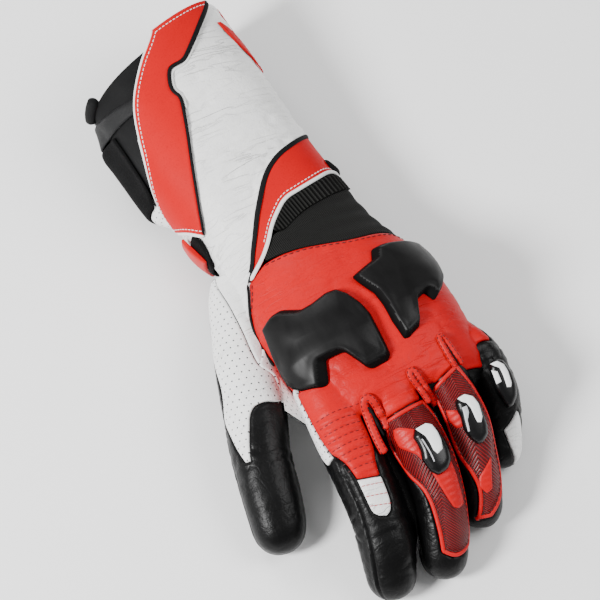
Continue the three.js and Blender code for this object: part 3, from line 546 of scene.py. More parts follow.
def tube(form, start, relief, around=110, step=0.8):
    """A hollow finger from a station to its rounded tip."""
    straight = np.arange(start, form.round_from, step)
    tip = form.round_from + (form.end - form.round_from) * np.sin(np.linspace(0, math.pi / 2, 16))
    round_it = np.arange(around) * 360 / around - 180
    s, degrees = as_grid(np.concatenate([straight, tip])[:, None], round_it[None])
    across = degrees * form.per_degree
    height = relief(s, across, form.point(s, degrees, 0.0))
    outer = form.point(s, degrees, height)
    inside = form.point(s, degrees, np.minimum(-LEATHER, height - 2 * THINNEST))
    index = np.arange(s.size).reshape(s.shape)
    quads = ring_faces(index)[:, OTHER_WAY]
    first, ahead = index[0], np.roll(index[0], -1)
    rim = np.stack([first, ahead, ahead + s.size, first + s.size], -1)
    faces = quads.tolist() + (quads + s.size)[:, ::-1].tolist() + rim.tolist()
    faces += [index[-1].tolist(), (index[-1][::-1] + s.size).tolist()]
    materials = [0] * len(quads) + [1] * (len(quads) + len(rim)) + [0, 1]
    uv = np.stack([across, s], -1).reshape(-1, 2)
    vertices = np.concatenate([outer.reshape(-1, 3), inside.reshape(-1, 3)])
    return vertices, faces, np.concatenate([uv, uv]), materials


def nearest_on(ring, points):
    """Signed distance to a closed line, below 0 inside, and the nearest point on it."""
    a, b = ring, np.roll(ring, -1, axis=0)
    best = np.full(len(points), 1e9)
    spot = np.zeros_like(points)
    inside = np.zeros(len(points), bool)
    for p, q in zip(a, b):
        edge = q - p
        t = np.clip(((points - p) @ edge) / max(edge @ edge, 1e-9), 0, 1)
        near = p + t[:, None] * edge
        gap = np.linalg.norm(points - near, axis=1)
        closer = gap < best
        best[closer], spot[closer] = gap[closer], near[closer]
        crosses = (p[0] > points[:, 0]) != (q[0] > points[:, 0])
        if crosses.any() and abs(edge[0]) > 1e-12:
            at = p[1] + (points[:, 0] - p[0]) * edge[1] / edge[0]
            inside ^= crosses & (points[:, 1] < at)
    return np.where(inside, -best, best), spot


def divided(ring, longest=3.0):
    """A closed line with points added so that no part is longer than this."""
    points = []
    for start, stop in zip(ring, np.roll(ring, -1, axis=0)):
        count = max(1, math.ceil(np.linalg.norm(stop - start) / longest))
        points += [start + (stop - start) * k / count for k in range(count)]
    return np.array(points)


def outline_patch(form, outline, top, step=0.6, base=0.0, rounds=1, rim=0.0):
    """A closed solid over an outline. top(inside distance, s, across) gives its height."""
    ring = rounded(divided(to_flat(form, outline)), rounds, closed=True)
    low, high = ring.min(0) - step, ring.max(0) + step
    counts = np.ceil((high - low) / step).astype(int) + 1
    s, across = (start + np.arange(count) * step for start, count in zip(low, counts))
    points = np.stack(np.meshgrid(s, across, indexing="ij"), -1).reshape(-1, 2)
    distance, spot = nearest_on(ring, points)
    snapped = np.abs(distance) < 0.55 * step
    points[snapped] = spot[snapped]
    distance[snapped] = 0
    index = np.arange(len(points)).reshape(counts)
    cells = np.stack([index[:-1, :-1], index[1:, :-1], index[1:, 1:], index[:-1, 1:]], -1).reshape(-1, 4)
    good = (distance <= 0)[cells]
    middles = np.where(good[..., None], points[cells], 0).sum(1) / np.maximum(good.sum(1), 1)[:, None]
    inside = nearest_on(ring, middles)[0] < 0
    faces = [cell[fit].tolist() for cell, fit, ok in zip(cells, good, inside) if ok and fit.sum() >= 3]
    kept = sorted({corner for face in faces for corner in face})
    number = {corner: i for i, corner in enumerate(kept)}
    faces = [[number[corner] for corner in face] for face in faces]
    s, across = points[kept].T
    depth = -distance[kept]
    upper = form.point(s, across / form.per_degree, top(depth, s, across))
    lower = form.point(s, across / form.per_degree, base)
    total = len(kept)
    edges = {(face[k], face[(k + 1) % len(face)]) for face in faces for k in range(len(face))}
    border = sorted((i, j) for i, j in edges if (j, i) not in edges)
    walls = [[j, i, i + total, j + total] for i, j in border]
    # Faces within the rim width of the outline take the second material, and with a rim so do the walls and
    # underside: a darker, duller black that paints shade on the bevel.
    materials = [int(depth[face].mean() < rim) for face in faces]
    materials += [int(rim > 0)] * (len(faces) + len(walls))
    faces = faces + [[corner + total for corner in reversed(face)] for face in faces] + walls
    uv = np.stack([across, s], -1)
    return np.concatenate([upper, lower]), faces, np.concatenate([uv, uv]), materials


def on_form(form, line, lift, step=0.8):
    """Points and outward normals along a flat line on a form."""
    count = max(3, round(line_length(line) / step))
    s, across = at_shares(line, np.linspace(0, 1, count + 1)).T
    points, near, far = (form.point(s, across / form.per_degree, lift + up) for up in (0.0, 1.0, 2.0))
    return points, unit(far - near)


def smooth_rows(rows, rounds=2):
    for _ in range(rounds):
        rows = np.concatenate([rows[:1], (rows[:-2] + 2 * rows[1:-1] + rows[2:]) / 4, rows[-1:]])
    return rows


def frames_along(points, normals):
    along = unit(np.gradient(points, axis=0))
    side = unit(np.cross(normals, along))
    return along, side, np.cross(along, side)


def sweep(points, normals, half_width, half_height, sides=10):
    """A rounded strip along points, with closed and narrowed ends."""
    _, side, up = frames_along(points, normals)
    angles = np.arange(sides) * 2 * math.pi / sides
    scale = np.ones(len(points))
    scale[:2], scale[-2:] = STRIP_ENDS, STRIP_ENDS[::-1]
    wide = (half_width * scale)[:, None] * np.cos(angles)
    high = (half_height * scale)[:, None] * np.sin(angles)
    rings = points[:, None] + wide[..., None] * side[:, None] + high[..., None] * up[:, None]
    index = np.arange(len(points) * sides).reshape(len(points), sides)
    faces = ring_faces(index).tolist() + [index[0].tolist()[::-1], index[-1].tolist()]
    uv = np.stack(as_grid(angles[None], run_along(points)[:, None]), -1)
    return rings.reshape(-1, 3), faces, uv


def strip(form, line, lift, half_width, half_height, sides=10):
    """A rounded strip along a flat line. Several half widths are spread along it."""
    points, normals = on_form(form, line, lift)
    widths = np.atleast_1d(half_width)
    shares = np.linspace(0, 1, len(points))
    widths = np.interp(shares, np.linspace(0, 1, len(widths)), widths)
    return sweep(points, normals, widths, half_height, sides)


def stitch_run(points, normals, pitch=STITCH_PITCH, length=STITCH_LENGTH, radius=STITCH_RADIUS,
               crossing=False):
    """Short threads along a line of points, or across it."""
    run = run_along(points)
    at = np.arange(pitch / 2, run[-1], pitch)
    rows = (points, *frames_along(points, normals))
    centre, along, side, up = (
        np.stack([np.interp(at, run, row[:, k]) for k in range(3)], -1)[:, None] for row in rows)
    if crossing:
        along, side = side, along
    reach = (STITCH_STATIONS * length / 2)[None, :, None]
    sunk = (-radius * 0.9 * STITCH_STATIONS**4)[None, :, None]
    angles = np.arange(STITCH_SIDES) * 2 * math.pi / STITCH_SIDES
    size = radius * STITCH_SCALES[:, None]
    wide = (size * np.cos(angles))[None, ..., None]
    high = (size * np.sin(angles))[None, ..., None]
    middle = centre + reach * along + sunk * up
    rings = middle[:, :, None] + wide * side[:, None] + high * up[:, None]
    index = np.arange(len(STITCH_STATIONS) * STITCH_SIDES).reshape(-1, STITCH_SIDES)
    one = ring_faces(index).tolist() + [index[0][::-1].tolist(), index[-1].tolist()]
    faces = [[corner + k * index.size for corner in face] for k in range(len(at)) for face in one]
    return rings.reshape(-1, 3), faces


def seam_line(form, seam, offset=0.0):
    line = at_shares(rounded(to_flat(form, seam)), np.linspace(0, 1, 160))
    return beside(line, offset)


# Materials
class Value:
    """A number in a material, with the sums that the looks are written in."""

    def __init__(self, nodes, socket):
        self.nodes, self.socket = nodes, socket

    def do(self, operation, other=0.0):
        return self.nodes.math(operation, self, other)

    def __add__(self, other):
        return self.do("ADD", other)

    def __sub__(self, other):
        return self.do("SUBTRACT", other)

    def __rsub__(self, other):
        return self.nodes.math("SUBTRACT", other, self)

    def __mul__(self, other):
        return self.do("MULTIPLY", other)

    def __truediv__(self, other):
        return self.do("DIVIDE", other)


class Nodes:
    """Short forms for building one material's nodes."""

    def __init__(self, name):
        self.material = bpy.data.materials.new(name)
        self.material.use_nodes = True
        self.tree = self.material.node_tree
        self.shader = self.tree.nodes["Principled BSDF"]
        self.coordinates = self.tree.nodes.new("ShaderNodeTexCoord")

    def node(self, kind, inputs, **settings):
        made = self.tree.nodes.new(kind)
        for key, value in settings.items():
            setattr(made, key, value)
        for key, value in inputs.items():
            self.put(made.inputs[key], value)
        return made

    def put(self, socket, value):
        if isinstance(value, Value):
            value = value.socket
        if isinstance(value, bpy.types.NodeSocket):
            self.tree.links.new(value, socket)
        else:
            socket.default_value = value

    def math(self, operation, a, b=0.0):
        return Value(self, self.node("ShaderNodeMath", {0: a, 1: b}, operation=operation).outputs[0])

    def position(self, scale):
        """Place on the object in millimetres, times a scale."""
        size = [k / MM for k in scale]
        made = self.node("ShaderNodeMapping", {"Vector": self.coordinates.outputs["Object"], "Scale": size})
        return made.outputs[0]

    def noise(self, size, detail=3.0, stretch=(1, 1, 1), distortion=0.0):
        made = self.node("ShaderNodeTexNoise", {
            "Vector": self.position(stretch), "Scale": 1 / size, "Detail": detail, "Distortion": distortion})
        return Value(self, made.outputs["Fac"])

    def cells(self, size, feature="F1", stretch=(1, 1, 1)):
        inputs = {"Vector": self.position(stretch), "Scale": 1 / size}
        return Value(self, self.node("ShaderNodeTexVoronoi", inputs, feature=feature).outputs["Distance"])

    def ramp(self, value, low, high, to_low=0.0, to_high=1.0):
        made = self.node("ShaderNodeMapRange", {
            "Value": value, "From Min": low, "From Max": high, "To Min": to_low, "To Max": to_high})
        return Value(self, made.outputs["Result"])

    def mix(self, share, first, second):
        return self.node("ShaderNodeMix", {0: share, 6: first, 7: second}, data_type="RGBA").outputs[2]

    def bump(self, height, depth, normal=None):
        inputs = {"Height": height, "Strength": 1.0, "Distance": depth * MM}
        if normal is not None:
            inputs["Normal"] = normal
        return self.node("ShaderNodeBump", inputs).outputs[0]

    def uv(self):
        """Place across and along the sheet in millimetres."""
        made = self.node("ShaderNodeSeparateXYZ", {"Vector": self.coordinates.outputs["UV"]})
        return Value(self, made.outputs[0]), Value(self, made.outputs[1])

    def set(self, **values):
        for key, value in values.items():
            self.put(self.shader.inputs[key.replace("_", " ")], value)
        return self.material


def colour(red, green, blue):
    return (red, green, blue, 1.0)


def shade(tint, factor):
    return tuple(min(1.0, c * factor) for c in tint[:3]) + (1.0,)


def leather(name, tint, rough=0.42, grain=0.9, grain_depth=0.05, fold_depth=0.16, worn=0.12, holes=False,
            shine=0.3, crease_depth_and_shade=0.0):
    """Grained leather: pebbled cells, fine folds, uneven dye, uneven polish, and crease lines that are bumped
    and darkened with painted shade.
    """
    n = Nodes(name)
    pebbles = n.cells(grain)
    lines = n.cells(grain * 4.5, "DISTANCE_TO_EDGE", (1, 0.8, 1))
    folds = n.noise(5.0, 5.0, (0.5, 1.7, 0.6), 0.6)
    broad = n.noise(26.0, 2.0)
    fine = n.noise(0.35, 2.0)
    normal = n.bump(pebbles, grain_depth)
    normal = n.bump(n.ramp(lines, 0.0, 0.12), grain_depth * 0.8, normal)
    normal = n.bump(folds, fold_depth, normal)
    tone = n.ramp(broad * 0.6 + folds * 0.4, 0.3, 0.7)
    base = n.mix(tone, shade(tint, 1 - worn), shade(tint, 1 + worn * 0.6))
    base = n.mix(n.ramp(pebbles, 0.55, 0.95, 0.0, 0.35), base, shade(tint, 0.72))
    wander = n.noise(7.5, 2.0, (0.24, 1.6, 0.5), 0.5)
    ridge = n.ramp((wander - 0.5).do("ABSOLUTE"), 0.0, 0.028, 1.0, 0.0)
    crease_and_shade_share = ridge * n.ramp(n.noise(30.0, 2.0), 0.4, 0.6)
    # Painted shade: the crease lines are darkened in the colour, as well as bumped below.
    base = n.mix(crease_and_shade_share * (crease_depth_and_shade * 0.5), base, shade(tint, 0.6))
    normal = n.bump(1.0 - crease_and_shade_share, 0.4 * crease_depth_and_shade, normal)
    if holes:
        hole = perforation(n)
        base = n.mix(hole, base, colour(0.05, 0.05, 0.055))
        normal = n.bump(1.0 - hole, 0.35, normal)
    roughness = n.ramp(fine * 0.3 + broad * 0.7, 0.3, 0.7, rough - 0.07, rough + 0.09)
    return n.set(Base_Color=base, Roughness=roughness, Normal=normal, Specular_IOR_Level=shine)


HOLE_PITCH = 3.3
HOLE_RADIUS = 0.36
KEEP_ABOVE_ZERO = 100.0


def perforation(n):
    """Round holes in staggered rows."""
    across, along = n.uv()
    row = along / HOLE_PITCH
    column = across / HOLE_PITCH + row.do("FLOOR").do("MODULO", 2.0) * 0.5
    dx = (column + KEEP_ABOVE_ZERO).do("FRACT") - 0.5
    dy = (row + KEEP_ABOVE_ZERO).do("FRACT") - 0.5
    edge = HOLE_RADIUS / HOLE_PITCH
    return n.ramp((dx * dx + dy * dy).do("SQRT"), edge * 0.8, edge * 1.15, 1.0, 0.0)


def knit(name, tint, pitch, course, depth, bands=0.0):
    """Rows of knitted loops, from the place on the sheet, with painted highlight on the raised loops and ribs
    and painted shade in the grooves between wide ribs.
    """
    n = Nodes(name)
    across, along = n.uv()
    wale = (across / pitch + 2 * KEEP_ABOVE_ZERO).do("FRACT")
    lean = along / course + (wale - 0.5).do("ABSOLUTE") * 1.6
    loops = (lean * (2 * math.pi)).do("SINE")
    rib = (wale * math.pi).do("SINE")
    fuzz = n.noise(0.5, 3.0)
    height = rib * 0.75 + loops * 0.12
    normal = n.bump(height + fuzz * 0.3, depth)
    # Painted highlight and shade: the colour follows the loops' bump height, light on top and dark between.
    base = n.mix(n.ramp(height, 0.1, 0.8), shade(tint, 0.2), shade(tint, 1.9))
    # Painted shade in the grooves between the wide ribs, at the pitch of the ribs in the band's relief.
    if bands:
        band = (across * (2 * math.pi / bands)).do("COSINE")
        base = n.mix(n.ramp(band, -0.7, 0.3, 1.0, 0.0), base, shade(tint, 0.12))
    return n.set(Base_Color=base, Roughness=n.ramp(fuzz, 0.3, 0.7, 0.78, 0.92), Normal=normal,
                 Specular_IOR_Level=0.12)


def cloth(name, tint, rough, fuzz_size, depth):
    n = Nodes(name)
    fuzz = n.noise(fuzz_size, 4.0)
    broad = n.noise(12.0, 3.0)
    base = n.mix(n.ramp(fuzz, 0.35, 0.65), shade(tint, 0.6), shade(tint, 1.35))
    return n.set(Base_Color=n.mix(n.ramp(broad, 0.3, 0.7, 0.0, 0.3), base, shade(tint, 0.7)),
                 Roughness=n.ramp(broad, 0.3, 0.7, rough - 0.06, rough + 0.06), Normal=n.bump(fuzz, depth),
                 Specular_IOR_Level=0.15)


def webbing(name, tint):
    """Woven satin band with fine slanting threads."""
    n = Nodes(name)
    across, along = n.uv()
    threads = (across * 6.5 + along * 4.0).do("SINE")
    fuzz = n.noise(0.6, 3.0)
    base = n.mix(n.ramp(threads, -1.0, 1.0), shade(tint, 0.8), shade(tint, 1.2))
    return n.set(Base_Color=base, Roughness=n.ramp(fuzz, 0.3, 0.7, 0.5, 0.62),
                 Normal=n.bump(threads * 0.5 + fuzz, 0.07), Specular_IOR_Level=0.2)


def moulded(name, tint, rough, texture=0.012, coat=0.0, shine=0.35):
    """Moulded plastic with a fine spark-eroded texture and light scuffs."""
    n = Nodes(name)
    scuffs = n.noise(7.0, 6.0, (1, 0.25, 1), 1.2)
    base = n.mix(n.ramp(scuffs, 0.45, 0.75), tint, shade(tint, 1.35))
    roughness = n.ramp(scuffs, 0.3, 0.75, rough - 0.05, rough + 0.1)
    return n.set(Base_Color=base, Roughness=roughness, Normal=n.bump(n.noise(0.16, 2.0), texture),
                 Coat_Weight=coat, Coat_Roughness=0.25, Specular_IOR_Level=shine)


def hatched(name, dark, bright, pitch, lean):
    """Printed and embossed hatch of slanting lines that meet in a chevron."""
    n = Nodes(name)
    across, along = n.uv()
    bend = (along * 0.11).do("SINE") * 3.0
    reach = along + bend + across.do("ABSOLUTE") * -lean
    wave = (reach * (2 * math.pi / pitch)).do("SINE")
    speckle = n.noise(0.55, 4.0)
    line = n.ramp(wave + (speckle - 0.5) * 1.4, 0.15, 0.75) * n.ramp(n.noise(9.0, 2.0), 0.3, 0.6, 0.35, 1.0)
    normal = n.bump(n.cells(0.8), 0.04, n.bump(wave, 0.16))
    return n.set(Base_Color=n.mix(line, dark, bright), Roughness=n.ramp(line, 0.0, 1.0, 0.33, 0.48),
                 Normal=normal, Specular_IOR_Level=0.3)


def thread(name, tint):
    n = Nodes(name)
    twist = n.noise(0.25, 2.0)
    base = n.mix(n.ramp(twist, 0.35, 0.65), shade(tint, 0.8), shade(tint, 1.1))
    return n.set(Base_Color=base, Roughness=n.ramp(twist, 0.3, 0.7, 0.6, 0.75), Normal=n.bump(twist, 0.05))


WHITE = colour(0.84, 0.84, 0.83)
RED = colour(0.50, 0.0008, 0.004)
DARK_RED = colour(0.060, 0.0008, 0.002)
BLACK = colour(0.0017, 0.0017, 0.0018)

white_leather = leather("white_leather", WHITE, 0.42, 0.8, 0.06, 0.5, 0.08, crease_depth_and_shade=0.8)
white_perforated = leather("white_perforated", WHITE, 0.5, 0.8, 0.04, 0.2, 0.05, holes=True, crease_depth_and_shade=0.3)
red_leather = leather("red_leather", RED, 0.44, 0.9, 0.035, 0.2, 0.10, shine=0.14, crease_depth_and_shade=0.3)
smooth_red = leather("smooth_red_leather", RED, 0.5, 0.8, 0.02, 0.06, 0.05, shine=0.08)
black_leather = leather("black_leather", BLACK, 0.38, 0.9, 0.05, 0.24, 0.25, shine=0.17)
suede = cloth("dark_suede", colour(0.008, 0.008, 0.0085), 0.92, 0.7, 0.12)
white_edge = leather("white_piping", shade(WHITE, 0.92), 0.42, 0.7, 0.02, 0.03, 0.05)
red_edge = leather("red_piping", RED, 0.42, 0.7, 0.03, 0.05, 0.08, shine=0.2)
black_edge = leather("black_piping", colour(0.004, 0.004, 0.0045), 0.6, 0.7, 0.03, 0.06, 0.2, shine=0.12)
fine_knit = knit("fine_knit", colour(0.0085, 0.0085, 0.008), 1.3, 1.6, 0.35)
rib_knit = knit("rib_knit", colour(0.010, 0.010, 0.0092), 0.75, 1.1, 0.12, RIB_PITCH)
loop_tape = cloth("loop_tape", colour(0.0028, 0.0028, 0.003), 0.95, 0.9, 0.6)
smooth_cloth = cloth("stretch_cloth", colour(0.0042, 0.0042, 0.0045), 0.75, 0.4, 0.05)
grey_band = webbing("grey_band", colour(0.0055, 0.0056, 0.006))
hard_black = moulded("hard_black", colour(0.0026, 0.0025, 0.0026), 0.42, shine=0.18)
# A darker, duller black for the guards' bevelled rims: painted shade on their sides.
shaded_rim_black = moulded("shaded_rim_black", colour(0.0012, 0.0012, 0.0013), 0.6, shine=0.08)
slider_black = moulded("slider_black", colour(0.0022, 0.0022, 0.0025), 0.28, 0.006, 0.1, shine=0.25)
hard_white = moulded("hard_white", colour(0.86, 0.86, 0.86), 0.30, 0.004)
silver = moulded("silver_bar", colour(0.45, 0.45, 0.47), 0.28, 0.004)
red_pull = moulded("red_pull", colour(0.46, 0.002, 0.004), 0.4, 0.01, shine=0.15)
overlay_hatch = hatched("overlay_hatch", DARK_RED, colour(0.24, 0.002, 0.003), 1.6, 0.8)
white_thread = thread("white_thread", colour(0.82, 0.82, 0.82))
red_thread = thread("red_thread", colour(0.045, 0.001, 0.001))
black_thread = thread("black_thread", colour(0.012, 0.012, 0.013))
bright_thread = thread("bright_red_thread", colour(0.50, 0.004, 0.008))

LEATHER_FACES = {
    "white": [white_leather, suede],
    "perforated": [white_perforated, suede],
    "red": [red_leather, suede],
    "black": [black_leather, suede],
}


# Reliefs of the soft panels: distance from the rim or the root, across, place and share across
def soft(swells, folds=()):
    """A relief of swells (depth, size, seed) and folds (depth, size along, size across, seed, width)."""
    def relief(s, across, base, v):
        height = sum(depth * noise_at(base, size, seed) for depth, size, seed in swells)
        for depth, along, wide, seed, width in folds:
            height = height + depth * crease(noise(s / along, across / wide, seed + 0 * s), width)
        return height
    return relief


calm_relief = soft([(0.35, 22, 2), (0.06, 5, 5)])
overlay_relief = soft([(0.45, 10, 4), (0.12, 4, 4)])
palm_relief = soft([(0.7, 24, 6), (0.2, 7, 7)], [(0.45, 9, 24, 6.5, 0.13)])
back_swells = soft([(0.9, 30, 3), (0.25, 11, 8)], [(0.30, 8, 15, 5.5, 0.12)])
knuckle_folds = soft([], [(0.35, 3.4, 16, 1.7, 0.16)])
cuff_folds = soft([], [(0.7, 5.0, 20, 9.7, 0.12), (0.35, 2.4, 10, 4.4, 0.14)])
root_softness = soft([(0.4, 8, 2)], [(0.25, 4, 11, 8.2, 0.15)])


def cuff_relief(s, across, base, v):
    waves = 0.6 * noise_at(base, 26, 1) + 0.5 * noise(s / 6.5, across / 22, 3.1 + 0 * s)
    patchy = smooth_step(0.5 + 1.2 * noise_at(base, 18, 12))
    return waves + cuff_folds(s, across, base, v) * (0.25 + 0.75 * patchy)


def red_back_relief(s, across, base, v):
    return back_swells(s, across, base, v) + knuckle_folds(s, across, base, v) * smooth_step((s - 205) / 14)


def knit_relief(s, across, base, v):
    return 0.5 * noise_at(base, 20, 9) + 0.25 * np.sin(2 * math.pi * (s + 2 * noise_at(base, 14, 2)) / 9)


def rib_relief(s, across, base, v):
    return RIB_DEPTH * np.sqrt(0.5 + 0.5 * np.cos(2 * math.pi * across / RIB_PITCH)) - 0.1


def pleat_relief(s, across, base, v):
    wander = 0.5 * noise_at(base, 7, 3)
    wave = np.abs(np.sin(math.pi * (s - PLEAT_START + wander) / PLEAT_PITCH)) ** 0.7
    fade = smooth_step((s - PLEAT_START) / 7) * (1 - (2 * v - 1) ** 6)
    uneven = 1 + 0.25 * noise_at(base, 5, 6)
    return PLEAT_DEPTH * (wave - 0.35) * fade * uneven + 0.12 * noise_at(base, 3, 1)


def root_relief(edge_at):
    """Red root of a finger, with a turned hem across it."""
    def relief(s, across, base, v):
        hem = -0.8 * np.exp(-(((s - edge_at) / 0.7) ** 2)) + 0.4 * smooth_step((s - edge_at) / 2)
        puff = 0.7 * np.exp(-(((s - edge_at + 8) / 5) ** 2))
        return hem + puff + root_softness(s, across, base, v)
    return relief


# Where the leather tubes bend: station, reach and depth of the folds
FINGER_FOLDS = {
    "index": [(62, 12, 0.55), (92, 9, 0.5), (112, 7, 0.3)],
    "middle": [(66, 12, 0.6), (98, 9, 0.45)],
    "ring": [(62, 12, 0.6), (92, 9, 0.45)],
    "little": [(50, 10, 0.55), (76, 9, 0.5)],
    "thumb": [(78, 12, 0.5), (108, 10, 0.45)],
}
SEAM_ANGLES = {
    "index": (-46, 76), "middle": (-92, 94), "ring": (-84, 92), "little": (-76, 100), "thumb": (-104, 74),
}
PANEL_SINK = 1.6


def finger_relief(name, panels, seed):
    """Swells, folds at the joints and two seams of a finger, sunk below the panels let into it."""
    form = FINGERS[name]
    rings = [outline_of(form, FINGER_PANELS[panel]) for panel in panels]

    def relief(s, across, base):
        height = 0.4 * noise_at(base, 16, seed) + 0.08 * noise_at(base, 5, seed + 1)
        for centre, reach, depth in FINGER_FOLDS[name]:
            near = np.exp(-(((s - centre) / reach) ** 2))
            warp = s + 2.4 * noise_at(base, 9, seed + 2)
            height = height + 0.22 * depth * near * np.sin(2 * math.pi * warp / 6.5)
            folds = crease(noise_at(base * [0.7, 2.0, 1.0], 10, seed + 3), 0.14)
            height = height + 0.9 * depth * near * folds
        height = height + 0.14 * crease(noise_at(base * [1, 1.6, 1], 5.5, seed + 4), 0.12)
        for degrees in SEAM_ANGLES[name]:
            off = across - degrees * form.per_degree
            height = height + 0.55 * np.exp(-((off / 0.9) ** 2)) - 0.45 * np.exp(-(((off - 1.7) / 0.6) ** 2))
        flat = np.stack([s, across], -1).reshape(-1, 2)
        for ring in rings:
            near = (np.abs(flat - ring.mean(0)) < np.ptp(ring, axis=0) / 2 + 4).all(1)
            gap = np.full(len(flat), 9.0)
            gap[near] = nearest_on(ring, flat[near])[0]
            sink = smooth_step((1.2 - gap.reshape(s.shape)) / 1.8)
            height = height * (1 - sink) - PANEL_SINK * sink
        tip = smooth_step((s - form.round_from) / (form.end - form.round_from))
        return height * (1 - 0.6 * tip)
    return relief


def outline_of(form, panel):
    left, right = rounded(to_flat(form, panel["left"])), rounded(to_flat(form, panel["right"]))
    bottom = rounded(to_flat(form, panel["bottom"]))[1:-1] if "bottom" in panel else left[:0]
    return np.concatenate([left, bottom, right[::-1]])


def moved(seam, along, degrees):
    return [[s + along, angle + degrees] for s, angle in seam]


def panel_sheet(name, relief=calm_relief, lift=0.1, step=0.9):
    panel = FINGER_PANELS[name]
    return sheet(FINGERS[panel["finger"]], panel["left"], panel["right"], bottom=panel.get("bottom"),
                 step=step, lift=lift, relief=relief)


def sheet_piece(name, slot, faces, left, right, relief=calm_relief, **options):
    """A piece of one sheet on the hand."""
    piece = Piece(name)
    piece.add(*sheet(HAND, left, right, relief=relief, **options))
    return piece.make(faces, slot, [name])


def pipe(piece, seam, offset, lift, half_width, half_height, material):
    """A rounded strip beside a seam of the hand."""
    piece.add(*strip(HAND, seam_line(HAND, seam, offset), lift, half_width, half_height), material)


THREADS = {
    "white": Piece("stitches_white"),
    "red": Piece("stitches_red"),
    "black": Piece("stitches_black"),
    "bright": Piece("stitches_bright_red"),
}


def surface_of(*pieces):
    """A search tree over the faces of finished pieces."""
    vertices, faces = [], []
    for piece in pieces:
        start = len(vertices)
        vertices += [vertex.co.copy() for vertex in piece.data.vertices]
        faces += [[start + index for index in polygon.vertices] for polygon in piece.data.polygons]
    return BVHTree.FromPolygons(vertices, faces)


def settled(points, normals, tree, lift):
    """Points moved along their normals onto a surface, where it is near."""
    laid = points.copy()
    for k, (point, normal) in enumerate(zip(points, normals)):
        start = Vector((point + normal * REACH - ORIGIN) * MM)
        hit = tree.ray_cast(start, Vector(-normal), 2 * REACH * MM)[0]
        if hit is not None:
            laid[k] = np.array(hit) / MM + ORIGIN
    return smooth_rows(laid) + normals * lift


def sew(thread_name, seam, offset=0.0, surface=None, lift=0.15, form=HAND, **sizes):
    """Stitches beside a seam, laid on a finished surface where one is given."""
    points, normals = on_form(form, seam_line(form, seam, offset), lift)
    if surface is not None:
        points = settled(points, normals, surface, lift)
    THREADS[thread_name].add(*stitch_run(points, normals, **sizes))


# Cuff
white_top = Piece("cuff_back_panel")
white_top.add(*sheet(
    HAND, UNDER_FLAP + UNDER_FLAP_END[1:] + [[150, -96], [169, -95]],
    [[0, LITTLE_SIDE], [75, LITTLE_SIDE]] + moved(INSERT_TOP, -0.25, -0.25) + moved(HAND_LEFT[1:5], 0, -0.5),
    top=[[0, 48], [0, LITTLE_SIDE]], relief=cuff_relief))
white_top.add(*panel_sheet("thumbTail", lift=0.0))
white_made = white_top.make(LEATHER_FACES["white"], "white_leather", ["cuff_back_panel"])

# Faces of the red pieces of the cuff, and the numbers of the two pipings in them
PIPED_RED = [smooth_red, suede, white_edge, black_edge]
WHITE_PIPING, BLACK_PIPING = 2, 3

flap = Piece("cuff_flap")
flap.add(*sheet(HAND, FLAP_EDGE, INLAY, top=[[0, 2], [0, 60]], bottom=FLAP_END, lift=LAP_TOP,
                inner=LAP_BOTTOM, relief=calm_relief))
pipe(flap, FLAP_EDGE, 0.1, 1.5, (0.75, 0.9), 0.8, WHITE_PIPING)
pipe(flap, FLAP_EDGE[7:], -0.5, 1.1, (0.9, 1.5), 0.9, WHITE_PIPING)
pipe(flap, FLAP_END, -0.6, 1.1, 1.3, 0.9, WHITE_PIPING)
pipe(flap, INLAY, 0.5, 1.45, (2.0, 1.6, 1.2, 1.05, 0.85, 0.7, 0.45), 0.75, BLACK_PIPING)
pipe(flap, INLAY[3:13], 2.3, 0.5, 0.8, 0.7, WHITE_PIPING)
flap_surface = surface_of(flap.make(PIPED_RED, "red_leather", ["cuff_flap"]))
for seam, offset in ((FLAP_EDGE, 2.6), ([[2.6, 2], [2.6, 56]], 0.0), (FLAP_END, 2.4)):
    sew("white", seam, offset, flap_surface, **FINE_STITCH)

accent = Piece("cuff_accent")
accent.add(*sheet(HAND, [[13, 58], [20, 60], [29, 64], [41, 78]], [[13, 61], [18, 69], [27, 76], [42, 82]],
                  lift=1.2, inner=0.4, step=0.7, drop=0.5))
pipe(accent, [[0, 84], [20, 86], [40, 88]], 0, 0.6, 0.6, 0.5, 0)
accent.make([smooth_red, suede], "red_leather", ["cuff_accent"])

insert = Piece("cuff_insert")
insert.add(*sheet(HAND, moved(INSERT_TOP, 0.25, 0.25), moved(INSERT_BOTTOM, -0.25, -0.25),
                  relief=calm_relief))
pipe(insert, INSERT_TOP, 0.2, 0.1, (1.2, 1.6), 0.6, BLACK_PIPING)
pipe(insert, INSERT_BOTTOM, 0.2, 0.5, (1.0, 1.2), 0.8, WHITE_PIPING)
insert_made = insert.make(PIPED_RED, "red_leather", ["cuff_insert"])
sew("white", INSERT_BOTTOM[:-2], -2.4, surface_of(insert_made), **FINE_STITCH)

UNDERSIDE_START, UNDERSIDE_STOP = LITTLE_SIDE - 0.8, THUMB_SIDE + 360.8
sheet_piece("cuff_underside", "black_leather", LEATHER_FACES["black"],
            [[0, UNDERSIDE_START], [CUFF_END, UNDERSIDE_START]],
            [[0, UNDERSIDE_STOP], [CUFF_END, UNDERSIDE_STOP]], palm_relief, step=1.6)


# Closure at the thumb side of the cuff
def closure_lift(s, degrees):
    return CLOSURE_BULGE * smooth_step((-86 - degrees) / 20) * smooth_step((s - 4) / 22)


def lap_bottom(s, degrees):
    return closure_lift(s, degrees) + LAP_BOTTOM


